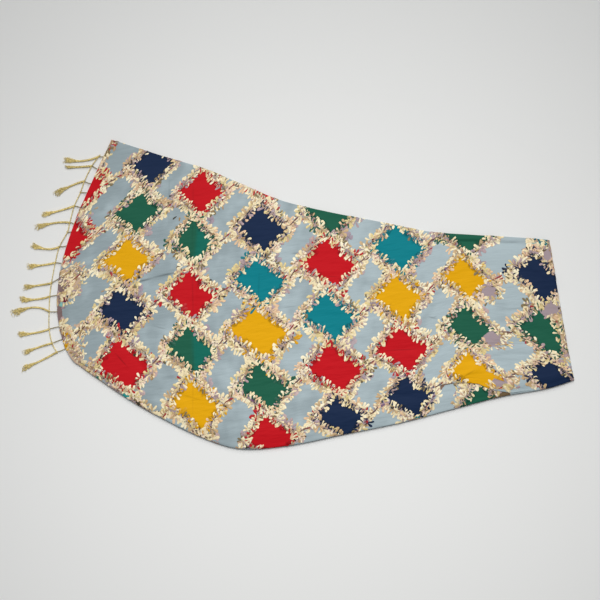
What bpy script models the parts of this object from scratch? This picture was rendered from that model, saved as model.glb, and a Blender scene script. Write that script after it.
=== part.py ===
"""A brocade dupatta stole, folded in half both ways and laid flat, in metres with +Z up.

The long fold runs along the front edge (-Y), the cross fold along the right edge (+X). The fringed
end lies at the left (-X) and the woven side edges lie at the back (+Y). The stole rests on Z = 0.
"""

import math
from collections import namedtuple

import bmesh
import bpy
from mathutils import Vector

MM = 0.001
CLOTH_WALL = 1.6 * MM
SEAM_GAP = 0.35 * MM
REST_CLEARANCE = 0.4 * MM

# How high the pile of layers stands.
PILE_HEIGHT = 11.4 * MM
FRONT_FOLD_HEIGHT = 10.6 * MM
CROSS_FOLD_HEIGHT = 10.0 * MM
BACK_EDGE_HEIGHT = 6.8 * MM
FRINGED_EDGE_HEIGHT = 7.0 * MM
CURLED_EDGE_HEIGHT = 5.0 * MM
FRONT_CORNER_HEIGHT = 8.6 * MM

# How far in from each edge the pile reaches its full height, as a share of the stole.
FRONT_RISE = 0.06
BACK_RISE = 0.16
CROSS_FOLD_RISE = 0.04
FRINGED_RISE = 0.07
CURL_REACH = 0.48
CURL_FULL = 0.29
CURL_NARROWS = 0.45
CORNER_REACH = 0.10

# How far each fold stands out past the flat of the upper layer.
FRONT_FOLD_REACH = 4.5 * MM
CROSS_FOLD_REACH = 5.5 * MM
HEM_REACH = CLOTH_WALL / 2
FRONT_LOBE = 2.85 * MM
FRONT_LOBE_SHARE = 0.28
FRONT_FOLD_TURN = math.radians(150)
CROSS_FOLD_TURN = math.radians(170)
UNDERSIDE_INSET = 3.0 * MM
HIDDEN_CORNER_INSET = 7.0 * MM
ARC_CORNER_INSET = 1.2 * MM

# The hidden layers' edges below the upper layer's, from the top down, one row for each step: how
# far it stands past the outline in millimetres, and its height as a share of the edge's height.
EdgeStep = namedtuple("EdgeStep", "reach level")
LOWER_FOLD_STEPS = (
    EdgeStep(-4.1, 1.0),
    EdgeStep(-1.3, 0.96),
    EdgeStep(-0.3, 0.72),
    EdgeStep(-0.1, 0.45),
    EdgeStep(-0.9, 0.16),
    EdgeStep(-2.8, 0.0),
)
UNDER_CROSS_FOLD_STEPS = (
    EdgeStep(-5.6, 1.0),
    EdgeStep(-5.7, 0.78),
    EdgeStep(-5.8, 0.56),
    EdgeStep(-5.9, 0.39),
    EdgeStep(-6.0, 0.22),
    EdgeStep(-6.4, 0.0),
)
THREE_LIP_STEPS = (
    EdgeStep(0.2, 0.84),
    EdgeStep(-1.5, 0.67),
    EdgeStep(0.2, 0.50),
    EdgeStep(-1.5, 0.34),
    EdgeStep(0.1, 0.18),
    EdgeStep(-1.2, 0.0),
)
UNDER_CROSS_FOLD_HEIGHT = 2.3 * MM
BETWEEN_LOBES = 0.1 * MM

# Weights with which a border point's side shares are mixed with its neighbours'.
SIDE_WEIGHTS = ((-2, 1 / 9), (-1, 2 / 9), (0, 3 / 9), (1, 2 / 9), (2, 1 / 9))

LENGTH_CELLS = 36
WIDTH_CELLS = 16
OUTER_STEPS = 5
INNER_STEPS = 4

# The outline, one row for each weft line from the fringed end to the cross fold, in millimetres:
# where the line starts on the front fold, where it ends on the back edge, and how far it bows left.
Section = namedtuple("Section", "front_x front_y back_x back_y bow")
SECTIONS = (
    Section(-398.4, -130.4, -335.5, 287.6, 59.2),
    Section(-357.7, -160.0, -305.9, 278.4, 44.4),
    Section(-302.2, -197.0, -268.9, 266.4, 33.3),
    Section(-246.7, -228.5, -224.5, 252.5, 25.0),
    Section(-174.5, -263.6, -163.4, 234.0, 18.5),
    Section(-98.7, -286.4, -98.7, 207.2, 13.0),
    Section(-6.2, -280.3, -22.8, 175.8, 9.2),
    Section(93.7, -259.9, 60.4, 155.4, 6.5),
    Section(197.3, -238.7, 160.3, 136.0, 4.6),
    Section(289.8, -214.6, 249.1, 118.4, 3.7),
    Section(382.3, -190.6, 334.2, 111.9, 2.8),
    Section(465.6, -175.8, 413.8, 107.3, 1.9),
    Section(519.2, -160.0, 473.0, 102.7, 1.9),
)
BOW_SKEW = 0.716

# The largest creases, in millimetres: a ridge has a positive rise and a trough a negative one.
Crease = namedtuple("Crease", "start_x start_y end_x end_y half_width rise")
CREASES = (
    Crease(-186, 215, -186, -240, 13, -0.9),
    Crease(-150, 205, -152, -235, 16, 0.6),
    Crease(-345, -60, -262, -158, 14, -0.8),
    Crease(-305, 22, -208, 44, 12, 0.7),
    Crease(140, -104, 274, -97, 12, -0.7),
    Crease(255, 98, 470, 88, 11, -1.0),
    Crease(-20, 60, 150, 20, 20, 0.6),
    Crease(300, -20, 440, -50, 18, 0.6),
    Crease(-330, 120, -230, 90, 18, -0.6),
    Crease(-60, -150, 90, -170, 18, -0.6),
    Crease(30, -60, 120, -110, 15, 0.5),
    Crease(300, -120, 480, -130, 14, -0.7),
)
# The tuck near the front right corner: behind this line the cloth stands one layer higher.
TUCK_START = (276, -160)
TUCK_END = (420, -182)
TUCK_RISE = 1.3 * MM
TUCK_HALF_WIDTH = 9.0 * MM
TUCK_GROWS_OVER = 0.45
TUCK_FADES_OUT = (1.05, 1.5)
TUCK_SPREADS_BACK = (2, 9)
# A crease fades in from just before its start to a share of its length, and out at its end.
CREASE_FADE = (-0.1, 0.15)
# Creases die away over this share of the stole beside its ends and beside its long edges.
PLAIN_END = 0.045
PLAIN_EDGE = 0.08

# The fringe, one row for each tassel from the back to the front, in millimetres: where its bar
# leaves the cloth's end, its knot on the running cord, a bend, its tip and how wide the tip spreads.
Tassel = namedtuple("Tassel", "root_y knot_x knot_y bend_x bend_y tip_x tip_y spread")
TASSELS = (
    Tassel(256.2, -359.5, 257.2, -391.9, 248.8, -422.4, 252.5, 3.4),
    Tassel(233.1, -372.5, 239.6, -398.4, 237.7, -420.6, 237.7, 1.6),
    Tassel(206.3, -386.2, 211.3, -409.5, 203.5, -442.2, 186.5, 4.0),
    Tassel(162.4, -404.7, 165.9, -434.3, 156.3, -464.1, 149.7, 2.8),
    Tassel(131.9, -413.2, 134.9, -442.8, 134.1, -476.8, 124.9, 3.4),
    Tassel(91.6, -432.3, 90.3, -455.7, 86.0, -483.1, 93.8, 3.0),
    Tassel(59.4, -440.0, 60.9, -463.1, 56.4, -490.9, 53.8, 3.2),
    Tassel(31.1, -447.1, 23.1, -472.4, 18.7, -498.3, 15.7, 3.2),
    Tassel(0.9, -450.2, -1.5, -476.1, -7.0, -505.1, -7.0, 3.6),
    Tassel(-29.8, -451.3, -29.8, -482.6, -22.0, -518.6, -35.3, 4.4),
    Tassel(-57.4, -451.3, -62.0, -479.8, -69.4, -507.9, -70.9, 3.2),
    Tassel(-80.5, -445.8, -87.9, -472.4, -96.0, -498.3, -106.4, 3.0),
    Tassel(-97.7, -437.2, -104.2, -468.7, -121.2, -502.0, -135.2, 3.2),
)
# Bars of the net whose tassels are gone.
Bar = namedtuple("Bar", "root_y knot_x knot_y")
BARE_BARS = (Bar(189.6, -393.4, 190.7), Bar(117.5, -417.5, 117.5))

NET_WALL = 1.4 * MM
NET_DROP = 0.15 * MM
ROOT_STRIP_WIDTH = 1.4 * MM
BAR_HALF_WIDTH = 0.8 * MM
CORD_HALF_WIDTH = 1.1 * MM
CORD_TOP = 4.2 * MM
NET_CELLS_BETWEEN_BARS = 2
END_SAMPLE = 0.002

HEAD_SIDES = 6
HEAD_LENGTH = 5.0 * MM
HEAD_START_RADIUS = 0.9 * MM
HEAD_RADIUS = 1.9 * MM
HEAD_INNER_RADIUS = 0.95 * MM
HEAD_CENTRE_HEIGHT = 3.4 * MM
ROOT_INSET = 0.16 * MM
STRAND_STEPS = 5
STRAND_RADIUS = 0.42 * MM
BUNDLE_HALF_HEIGHT = 1.35 * MM
BUNDLE_CENTRE_HEIGHT = 2.25 * MM
BUNDLE_TWIST = math.radians(260)
# Shares of the tassel's length: where its thread starts and stops falling, where its strands start
# to spread, how much shorter the shortest strand is, and how much thinner a strand's tip is.
FALL_START = 0.05
FALL_END = 0.45
SPREAD_START = 0.45
STRAND_UNEVENNESS = 0.05
STRAND_TAPER = 0.35
LINE_SAMPLE = 0.02
HEAD_SHOULDER = 0.3
HEAD_START_STEP = 0.002


def smooth_step(low, high, value):
    """0 below low, 1 above high and an S-curve between them."""
    share = min(max((value - low) / (high - low), 0.0), 1.0)
    return share * share * (3 - 2 * share)


def smooth_through(rows, place):
    """The values of a table at a place from 0 to 1 along it, on a Catmull-Rom curve."""
    last = len(rows) - 1
    index = min(int(place * last), last - 1)
    share = place * last - index
    start = rows[index]
    end = rows[index + 1]
    before = rows[index - 1] if index > 0 else [2 * a - b for a, b in zip(start, end)]
    after = rows[index + 2] if index + 2 <= last else [2 * b - a for a, b in zip(start, end)]
    return [
        0.5
        * (
            2 * b
            + (c - a) * share
            + (2 * a - 5 * b + 4 * c - d) * share**2
            + (3 * b - a - 3 * c + d) * share**3
        )
        for a, b, c, d in zip(before, start, end, after)
    ]


def plan_point(along, across):
    """A point of the stole's outline plane: along is 0 at the fringe, across 0 at the front fold."""
    section = Section(*smooth_through(SECTIONS, along))
    bow = section.bow * math.sin(math.pi * across**BOW_SKEW)
    x = section.front_x + (section.back_x - section.front_x) * across - bow
    y = section.front_y + (section.back_y - section.front_y) * across
    return Vector((x * MM, y * MM))


def crease_height(point):
    """How far the creases and the tuck lift or lower the cloth at a point."""
    height = 0.0
    for crease in CREASES:
        start = Vector((crease.start_x, crease.start_y)) * MM
        run = Vector((crease.end_x, crease.end_y)) * MM - start
        share = (point - start).dot(run) / run.length_squared
        off_line = (point - start - run * share).length
        ends = smooth_step(*CREASE_FADE, share) * smooth_step(*CREASE_FADE, 1 - share)
        height += crease.rise * MM * ends * math.exp(-((off_line / (crease.half_width * MM)) ** 2))
    start = Vector(TUCK_START) * MM
    run = Vector(TUCK_END) * MM - start
    share = (point - start).dot(run) / run.length_squared
    behind = run.cross(point - start) / run.length
    steps_back = behind / TUCK_HALF_WIDTH
    near, far = TUCK_SPREADS_BACK
    lift = smooth_step(-1, 1, steps_back) * smooth_step(far, near, steps_back)
    full, gone = TUCK_FADES_OUT
    lift *= smooth_step(0, TUCK_GROWS_OVER, share) * smooth_step(gone, full, share)
    return height + TUCK_RISE * lift


def layer_height(along, across):
    """The height of the upper layer's face above the floor."""
    curl = smooth_step(CURL_REACH, CURL_FULL, across)
    corner = smooth_step(CORNER_REACH, 0, across)
    fringed = FRINGED_EDGE_HEIGHT + (CURLED_EDGE_HEIGHT - FRINGED_EDGE_HEIGHT) * curl
    fringed += (FRONT_CORNER_HEIGHT - fringed) * corner
    height = PILE_HEIGHT
    height -= (PILE_HEIGHT - FRONT_FOLD_HEIGHT) * smooth_step(FRONT_RISE, 0, across)
    height -= (PILE_HEIGHT - BACK_EDGE_HEIGHT) * smooth_step(BACK_RISE, 0, 1 - across)
    height -= (PILE_HEIGHT - CROSS_FOLD_HEIGHT) * smooth_step(CROSS_FOLD_RISE, 0, 1 - along)
    reach = FRINGED_RISE * (1 - CURL_NARROWS * curl)
    height = fringed + (height - fringed) * smooth_step(0, reach, along)
    inside = smooth_step(0, PLAIN_END, along) * smooth_step(0, PLAIN_END, 1 - along)
    inside *= smooth_step(0, PLAIN_EDGE, across) * smooth_step(0, PLAIN_EDGE, 1 - across)
    return height + crease_height(plan_point(along, across)) * inside


ALONG = [i / LENGTH_CELLS for i in range(LENGTH_CELLS + 1)]
ACROSS = [j / WIDTH_CELLS for j in range(WIDTH_CELLS + 1)]


def border_places():
    """The grid's border in order: front fold, cross fold, back edge, fringed edge."""
    front = [(i, 0, "front") for i in range(LENGTH_CELLS)]
    cross = [(LENGTH_CELLS, j, "cross") for j in range(WIDTH_CELLS)]
    back = [(i, WIDTH_CELLS, "hem") for i in range(LENGTH_CELLS, 0, -1)]
    fringed = [(0, j, "hem") for j in range(WIDTH_CELLS, 0, -1)]
    return front + cross + back + fringed


def border_points():
    """Each border place with its plan point, its outward direction, its height and its side shares."""
    places = border_places()
    points = [plan_point(ALONG[i], ACROSS[j]) for i, j, side in places]
    count = len(places)
    found = []
    for k, (i, j, side) in enumerate(places):
        run = points[(k + 1) % count] - points[k - 1]
        outward = Vector((run.y, -run.x)).normalized()
        shares = {"front": 0.0, "cross": 0.0, "hem": 0.0}
        for step, weight in SIDE_WEIGHTS:
            shares[places[(k + step) % count][2]] += weight
        found.append(((i, j), points[k], outward, layer_height(ALONG[i], ACROSS[j]), shares))
    return found


def blended(profiles, shares, step):
    """(reach past the outline, height) at one step down the edge, mixed from the sides' profiles."""
    reach = sum(shares[side] * profiles[side][step][0] for side in shares)
    height = sum(shares[side] * profiles[side][step][1] for side in shares)
    return reach, height


def fold_shapes(height, thinner):
    """Each fold's reach, drop and turn at a height, for a surface that much inside the outer one."""
    front_drop = min(FRONT_LOBE, FRONT_LOBE_SHARE * height) - thinner
    cross_drop = (height - REST_CLEARANCE) / 2 - thinner
    return {
        "front": (FRONT_FOLD_REACH - thinner, front_drop, FRONT_FOLD_TURN),
        "cross": (CROSS_FOLD_REACH - thinner, cross_drop, CROSS_FOLD_TURN),
    }


def fold_arcs(height, thinner, steps):
    """Both folds' side profiles, each placed against the outline."""
    outline = {"front": FRONT_FOLD_REACH, "cross": CROSS_FOLD_REACH}
    arcs = {}
    for side, (reach, drop, turn) in fold_shapes(height, thinner).items():
        angles = [turn * k / steps for k in range(steps + 1)]
        arcs[side] = [
            (reach * math.sin(a) - outline[side], height - thinner - drop * (1 - math.cos(a)))
            for a in angles
        ]
    return arcs


def hem_underside(height, below, further_in):
    """The flat underside behind the hem, from the inside out to the edge."""
    step = UNDERSIDE_INSET / (INNER_STEPS + 2)
    reaches = [-HEM_REACH - step * k - further_in for k in range(INNER_STEPS + 1, 0, -1)]
    return [(reach, height - below) for reach in reaches]


def upper_profiles(height):
    """The upper layer's edge on each side: down its outer face and back up its inner face."""
    outer = fold_arcs(height, 0.0, OUTER_STEPS)
    inner = fold_arcs(height, CLOTH_WALL, INNER_STEPS)
    profiles = {side: outer[side] + inner[side][::-1] for side in outer}
    round_edge = []
    for k in range(OUTER_STEPS + 1):
        angle = math.pi * k / OUTER_STEPS
        drop = CLOTH_WALL / 2 * (1 - math.cos(angle))
        round_edge.append((HEM_REACH * math.sin(angle) - HEM_REACH, height - drop))
    profiles["hem"] = round_edge + hem_underside(height, CLOTH_WALL, 0.0)[::-1]
    return profiles


def hidden_profiles(height):
    """The hidden layers' edge on each side: inside the folds, and three lips where layers end."""
    below = CLOTH_WALL + SEAM_GAP
    profiles = fold_arcs(height, below, INNER_STEPS)
    profiles["hem"] = hem_underside(height, below, SEAM_GAP)
    top = height - below
    fold_top = height - 2 * fold_shapes(height, 0.0)["front"][1] - BETWEEN_LOBES
    for side, steps, edge_height in (
        ("front", LOWER_FOLD_STEPS, fold_top),
        ("cross", UNDER_CROSS_FOLD_STEPS, UNDER_CROSS_FOLD_HEIGHT),
        ("hem", THREE_LIP_STEPS, top),
    ):
        profiles[side] += [(step.reach * MM, step.level * edge_height) for step in steps]
    return profiles


def flat_reach(shares):
    """How far inside the outline a layer's flat part ends."""
    folds = shares["front"] * FRONT_FOLD_REACH + shares["cross"] * CROSS_FOLD_REACH
    return folds + shares["hem"] * HEM_REACH


def add_grid(bm, border, inset, lowered):
    """A face grid over the stole; its border lies inset from the outline. Returns its points."""
    edge = {}
    for place, point, outward, height, shares in border:
        edge[place] = point - outward * (flat_reach(shares) + inset)
    grid = {}
    for i, along in enumerate(ALONG):
        for j, across in enumerate(ACROSS):
            flat = edge[i, j] if (i, j) in edge else plan_point(along, across)
            grid[i, j] = bm.verts.new((flat.x, flat.y, layer_height(along, across) - lowered))
    for i in range(LENGTH_CELLS):
        for j in range(WIDTH_CELLS):
            bm.faces.new((grid[i, j], grid[i + 1, j], grid[i + 1, j + 1], grid[i, j + 1]))
    return [grid[place] for place, point, outward, height, shares in border]


def add_ring(bm, border, profiles_at, step, corner_inset=0.0):
    """A ring of points round the stole at one step of its edge profile, drawn in at the corners."""
    ring = []
    for place, point, outward, height, shares in border:
        reach, level = blended(profiles_at(height), shares, step)
        reach -= corner_inset * (1 - sum(share**2 for share in shares.values()))
        spot = point + outward * reach
        ring.append(bm.verts.new((spot.x, spot.y, level)))
    return ring


def join_rings(bm, first, second):
    for k in range(len(first)):
        n = (k + 1) % len(first)
        bm.faces.new((first[k], first[n], second[n], second[k]))


def finished(bm, name, material, crease_angle=40):
    """Makes the shape an object with faces out, smooth shading and its material."""
    bmesh.ops.triangulate(bm, faces=bm.faces[:], quad_method="FIXED")
    bmesh.ops.recalc_face_normals(bm, faces=bm.faces[:])
    mesh = bpy.data.meshes.new(name)
    bm.to_mesh(mesh)
    bm.free()
    mesh.shade_smooth()
    mesh.set_sharp_from_angle(angle=math.radians(crease_angle))
    return placed(mesh, name, material)


def placed(mesh, name, material):
    mesh.materials.append(material)
    piece = bpy.data.objects.new(name, mesh)
    bpy.context.scene.collection.objects.link(piece)
    return piece


def make_material(name, colour, roughness):
    material = bpy.data.materials.new(name)
    material.use_nodes = True
    shader = material.node_tree.nodes["Principled BSDF"]
    shader.inputs["Base Color"].default_value = (*colour, 1.0)
    shader.inputs["Roughness"].default_value = roughness
    shader.inputs["Metallic"].default_value = 0.0
    return material


def make_upper_layer(border, material):
    """The layer that shows: one wall over the top, round the long fold and round the cross fold."""
    bm = bmesh.new()
    outer = add_grid(bm, border, 0.0, 0.0)
    inner = add_grid(bm, border, UNDERSIDE_INSET, CLOTH_WALL)
    steps = OUTER_STEPS + INNER_STEPS + 2
    rings = [add_ring(bm, border, upper_profiles, step) for step in range(1, steps)]
    loops = [outer, *rings, inner]
    for first, second in zip(loops, loops[1:]):
        join_rings(bm, first, second)
    return finished(bm, "upper_layer", material)


def make_hidden_layers(border, material):
    """The three layers below as one rounded solid, with a lip for each along the open edges."""
    bm = bmesh.new()
    inset = UNDERSIDE_INSET + SEAM_GAP
    top = add_grid(bm, border, inset, CLOTH_WALL + SEAM_GAP)
    rings = []
    for step in range(INNER_STEPS + 1 + len(THREE_LIP_STEPS)):
        below_folds = step > INNER_STEPS
        corner_inset = HIDDEN_CORNER_INSET if below_folds else ARC_CORNER_INSET
        rings.append(add_ring(bm, border, hidden_profiles, step, corner_inset))
    loops = [top, *rings]
    for first, second in zip(loops, loops[1:]):
        join_rings(bm, first, second)
    bm.faces.new(rings[-1])
    return finished(bm, "hidden_layers", material)


def end_edge(y):
    """The cloth's fringed end at a height y up the plan: the point and its outward direction."""
    first = SECTIONS[0]
    across = (y / MM - first.front_y) / (first.back_y - first.front_y)
    run = plan_point(0, across - END_SAMPLE) - plan_point(0, across + END_SAMPLE)
    outward = Vector((run.y, -run.x)).normalized()
    return plan_point(0, across), outward, layer_height(0, across)


def net_stations():
    """The net's cross lines from the back to the front: root height, knot place, on a bar or not."""
    bars = [Bar(t.root_y, t.knot_x, t.knot_y) for t in TASSELS] + list(BARE_BARS)
    bars.sort(key=lambda bar: -bar.root_y)
    stations = []
    for bar, following in zip(bars, bars[1:] + [None]):
        root = bar.root_y * MM
        knot = Vector((bar.knot_x, bar.knot_y)) * MM
        stations.append((root + BAR_HALF_WIDTH, knot + Vector((0, BAR_HALF_WIDTH)), True))
        stations.append((root - BAR_HALF_WIDTH, knot - Vector((0, BAR_HALF_WIDTH)), False))
        if following is None:
            continue
        next_root = following.root_y * MM
        next_knot = Vector((following.knot_x, following.knot_y)) * MM
        for k in range(1, NET_CELLS_BETWEEN_BARS):
            share = k / NET_CELLS_BETWEEN_BARS
            middle = knot.lerp(next_knot, share)
            stations.append((root + (next_root - root) * share, middle, False))
    return stations


def make_fringe_net(material):
    """The net at the cloth's end: a root strip, its bars and the running cord, with open gaps."""
    bm = bmesh.new()
    stations = net_stations()
    lines = []
    for k, (root, knot, on_bar) in enumerate(stations):
        edge, outward, height = end_edge(root)
        before = stations[max(k - 1, 0)][1]
        after = stations[min(k + 1, len(stations) - 1)][1]
        run = (before - after).normalized()
        sideways = Vector((-run.y, run.x))
        strip_top = height - NET_DROP
        near = edge + outward * SEAM_GAP
        far = near + outward * ROOT_STRIP_WIDTH
        cord_in = knot - sideways * CORD_HALF_WIDTH
        cord_out = knot + sideways * CORD_HALF_WIDTH
        middle = far.lerp(cord_in, 0.5)
        middle_top = (strip_top + CORD_TOP) / 2
        line = [(near, strip_top), (far, strip_top), (middle, middle_top)]
        line += [(cord_in, CORD_TOP), (cord_out, CORD_TOP)]
        lines.append([bm.verts.new((p.x, p.y, z)) for p, z in line])
    for (root, knot, on_bar), line, following in zip(stations, lines, lines[1:]):
        for column in range(4):
            if on_bar or column in (0, 3):
                corners = (line[column], following[column], following[column + 1], line[column + 1])
                bm.faces.new(corners)
    loose = [v for v in bm.verts if not v.link_faces]
    bmesh.ops.delete(bm, geom=loose, context="VERTS")
    bmesh.ops.recalc_face_normals(bm, faces=bm.faces[:])
    if sum(face.normal.z for face in bm.faces) < 0:
        bmesh.ops.reverse_faces(bm, faces=bm.faces[:])
    mesh = bpy.data.meshes.new("fringe_net")
    bm.to_mesh(mesh)
    bm.free()
    piece = placed(mesh, "fringe_net", material)
    wall = piece.modifiers.new("net_wall", "SOLIDIFY")
    wall.thickness = NET_WALL
    wall.offset = -1
    wall.use_rim = True
    return piece


def tassel_line(tassel, share):
    """The tassel's centre line at a share of its length, as a point with its height."""
    knot = Vector((tassel.knot_x, tassel.knot_y)) * MM
    bend = Vector((tassel.bend_x, tassel.bend_y)) * MM
    tip = Vector((tassel.tip_x, tassel.tip_y)) * MM
    pull = 2 * bend - (knot + tip) / 2
    flat = knot * (1 - share) ** 2 + pull * 2 * share * (1 - share) + tip * share**2
    fall = smooth_step(FALL_START, FALL_END, share)
    height = HEAD_CENTRE_HEIGHT + (BUNDLE_CENTRE_HEIGHT - HEAD_CENTRE_HEIGHT) * fall
    return Vector((flat.x, flat.y, height))


def frame_at(tassel, share):
    """The tassel's centre, its direction, and the two directions across it."""
    centre = tassel_line(tassel, share)
    before = tassel_line(tassel, max(share - LINE_SAMPLE, 0))
    run = (tassel_line(tassel, share + LINE_SAMPLE) - before).normalized()
    sideways = Vector((0, 0, 1)).cross(run).normalized()
    return centre, run, sideways, run.cross(sideways)


def head_ring(bm, frame, radius, turned):
    centre, run, sideways, up = frame
    ring = []
    for k in range(HEAD_SIDES):
        angle = 2 * math.pi * (k + turned) / HEAD_SIDES
        ring.append(
            bm.verts.new(centre + (sideways * math.cos(angle) + up * math.sin(angle)) * radius)
        )
    return ring


def add_strand(bm, root, tassel, length, start):
    """One strand: the root face is drawn out along the tassel, twisting and spreading to its tip."""
    centre, run, sideways, up = frame_at(tassel, start)
    middle = root.calc_center_median() - centre
    across = middle.dot(sideways)
    upward = middle.dot(up)
    distance = math.hypot(across, upward) / HEAD_RADIUS
    angle = math.atan2(upward, across)
    corners = [corner.co - root.calc_center_median() for corner in root.verts]
    corner_angles = [math.atan2(c.dot(up), c.dot(sideways)) for c in corners]
    face = root
    for k in range(1, STRAND_STEPS + 1):
        share = k / STRAND_STEPS
        place = start + (1 - start) * share
        place -= STRAND_UNEVENNESS * share * (1 - distance) * (1 + math.sin(5 * angle))
        centre, run, sideways, up = frame_at(tassel, min(place, 1 - LINE_SAMPLE))
        turn = angle + BUNDLE_TWIST * share
        spread = smooth_step(SPREAD_START, 1, share)
        half_width = HEAD_RADIUS + (tassel.spread * MM - HEAD_RADIUS) * spread
        offset = sideways * math.cos(turn) * distance * half_width
        offset += Vector((0, 0, 1)) * math.sin(turn) * distance * BUNDLE_HALF_HEIGHT
        middle = centre + run * max(place - 1 + LINE_SAMPLE, 0) * length + offset
        radius = STRAND_RADIUS * (1 - STRAND_TAPER * share)
        face = bmesh.ops.extrude_discrete_faces(bm, faces=[face])["faces"][0]
        for corner, spin in zip(face.verts, corner_angles):
            corner.co = middle + (sideways * math.cos(spin) + up * math.sin(spin)) * radius


def distance_to_run(point, start, end):
    run = end - start
    share = min(max((point - start).dot(run) / run.length_squared, 0), 1)
    return (point - start - run * share).length


def head_gap(tassel, start, head_share, cord):
    """How far a head that starts at this share of its tassel lies from the running cord."""
    gaps = []
    for share, radius in ((start, HEAD_START_RADIUS), (start + HEAD_SHOULDER * head_share, HEAD_RADIUS)):
        centre, run, sideways, up = frame_at(tassel, share)
        for side in (-1, 0, 1):
            spot = (centre + sideways * radius * side).to_2d()
            gaps += [distance_to_run(spot, a, b) for a, b in zip(cord, cord[1:])]
    return min(gaps) - CORD_HALF_WIDTH


def make_tassel(index, tassel, cord, material):
    """A tassel: a small bound head just past the running cord, and nine strands."""
    bm = bmesh.new()
    knot = Vector((tassel.knot_x, tassel.knot_y)) * MM
    bend = Vector((tassel.bend_x, tassel.bend_y)) * MM
    tip = Vector((tassel.tip_x, tassel.tip_y)) * MM
    length = (bend - knot).length + (tip - bend).length
    head_share = HEAD_LENGTH / length
    start = 0.0
    while head_gap(tassel, start, head_share, cord) < SEAM_GAP:
        start += HEAD_START_STEP
    end = start + head_share
    shoulder = start + HEAD_SHOULDER * head_share
    first = head_ring(bm, frame_at(tassel, start), HEAD_START_RADIUS, 0)
    second = head_ring(bm, frame_at(tassel, shoulder), HEAD_RADIUS, 0)
    third = head_ring(bm, frame_at(tassel, end), HEAD_RADIUS, 0)
    inner = head_ring(bm, frame_at(tassel, end), HEAD_INNER_RADIUS, 0.5)
    centre = bm.verts.new(frame_at(tassel, end)[0])
    bm.faces.new(first[::-1])
    join_rings(bm, first, second)
    join_rings(bm, second, third)
    roots = []
    for k in range(HEAD_SIDES):
        n = (k + 1) % HEAD_SIDES
        roots.append(bm.faces.new((third[k], third[n], inner[k])))
        bm.faces.new((third[n], inner[n], inner[k]))
        middle_face = bm.faces.new((inner[k], inner[n], centre))
        if k % 2 == 0:
            roots.append(middle_face)
    bmesh.ops.recalc_face_normals(bm, faces=bm.faces[:])
    bmesh.ops.inset_individual(bm, faces=roots, thickness=ROOT_INSET)
    for root in roots:
        add_strand(bm, root, tassel, length, end)
    return finished(bm, f"tassel_{index + 1:02d}", material, 60)


def main():
    for old in list(bpy.data.objects):
        bpy.data.objects.remove(old)
    stole = bpy.data.objects.new("stole", None)
    bpy.context.scene.collection.objects.link(stole)
    brocade = make_material("blue_grey_brocade", (0.33, 0.44, 0.50), 0.55)
    brocade_inside = make_material("brocade_inner_layers", (0.30, 0.33, 0.36), 0.7)
    gold_thread = make_material("gold_fringe_thread", (0.45, 0.32, 0.08), 0.5)
    border = border_points()
    pieces = [make_upper_layer(border, brocade), make_hidden_layers(border, brocade_inside)]
    pieces.append(make_fringe_net(gold_thread))
    cord = [knot for root, knot, on_bar in net_stations()]
    for index, tassel in enumerate(TASSELS):
        pieces.append(make_tassel(index, tassel, cord, gold_thread))
    for piece in pieces:
        piece.parent = stole


main()
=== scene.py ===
"""The looks of a brocade dupatta stole that is folded in half both ways and laid flat.

+X runs along the stole from its fringe to the cross fold, +Y from the long fold to the woven side
edges, and +Z is up. Lengths are in metres, but in the tables they are in millimetres.
"""

import math
import random
from collections import namedtuple

import bpy
import numpy as np
from bpy.props import FloatProperty, FloatVectorProperty, IntProperty, PointerProperty
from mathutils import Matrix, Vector
from mathutils.bvhtree import BVHTree
from mathutils.geometry import barycentric_transform


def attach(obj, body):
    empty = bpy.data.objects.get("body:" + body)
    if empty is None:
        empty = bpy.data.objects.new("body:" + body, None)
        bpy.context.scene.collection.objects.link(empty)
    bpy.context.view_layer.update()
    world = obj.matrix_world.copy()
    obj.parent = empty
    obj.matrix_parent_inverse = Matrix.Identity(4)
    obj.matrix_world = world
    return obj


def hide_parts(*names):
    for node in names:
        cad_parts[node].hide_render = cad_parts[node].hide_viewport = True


bl_info = {
    "name": "Folded dupatta stole",
    "version": (1, 0, 0),
    "blender": (4, 5, 0),
    "location": "View3D > Sidebar > Stole",
    "description": "Weaves, folds and fringes a brocade dupatta stole and lights it",
    "category": "Object",
}

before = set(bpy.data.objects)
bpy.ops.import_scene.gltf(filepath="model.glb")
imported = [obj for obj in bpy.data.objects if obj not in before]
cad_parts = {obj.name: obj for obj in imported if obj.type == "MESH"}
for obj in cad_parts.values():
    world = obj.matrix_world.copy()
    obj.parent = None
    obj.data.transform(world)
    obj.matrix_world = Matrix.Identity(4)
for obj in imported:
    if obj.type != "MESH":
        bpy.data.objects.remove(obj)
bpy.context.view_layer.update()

MM = 0.001


def linear(hex_colour):
    """An sRGB hex colour as linear red, green and blue with full alpha."""
    channels = [int(hex_colour[k : k + 2], 16) / 255 for k in (1, 3, 5)]
    lit = [c / 12.92 if c <= 0.04045 else ((c + 0.055) / 1.055) ** 2.4 for c in channels]
    return (*lit, 1.0)


# --- The folded form -----------------------------------------------------------------------------

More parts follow.
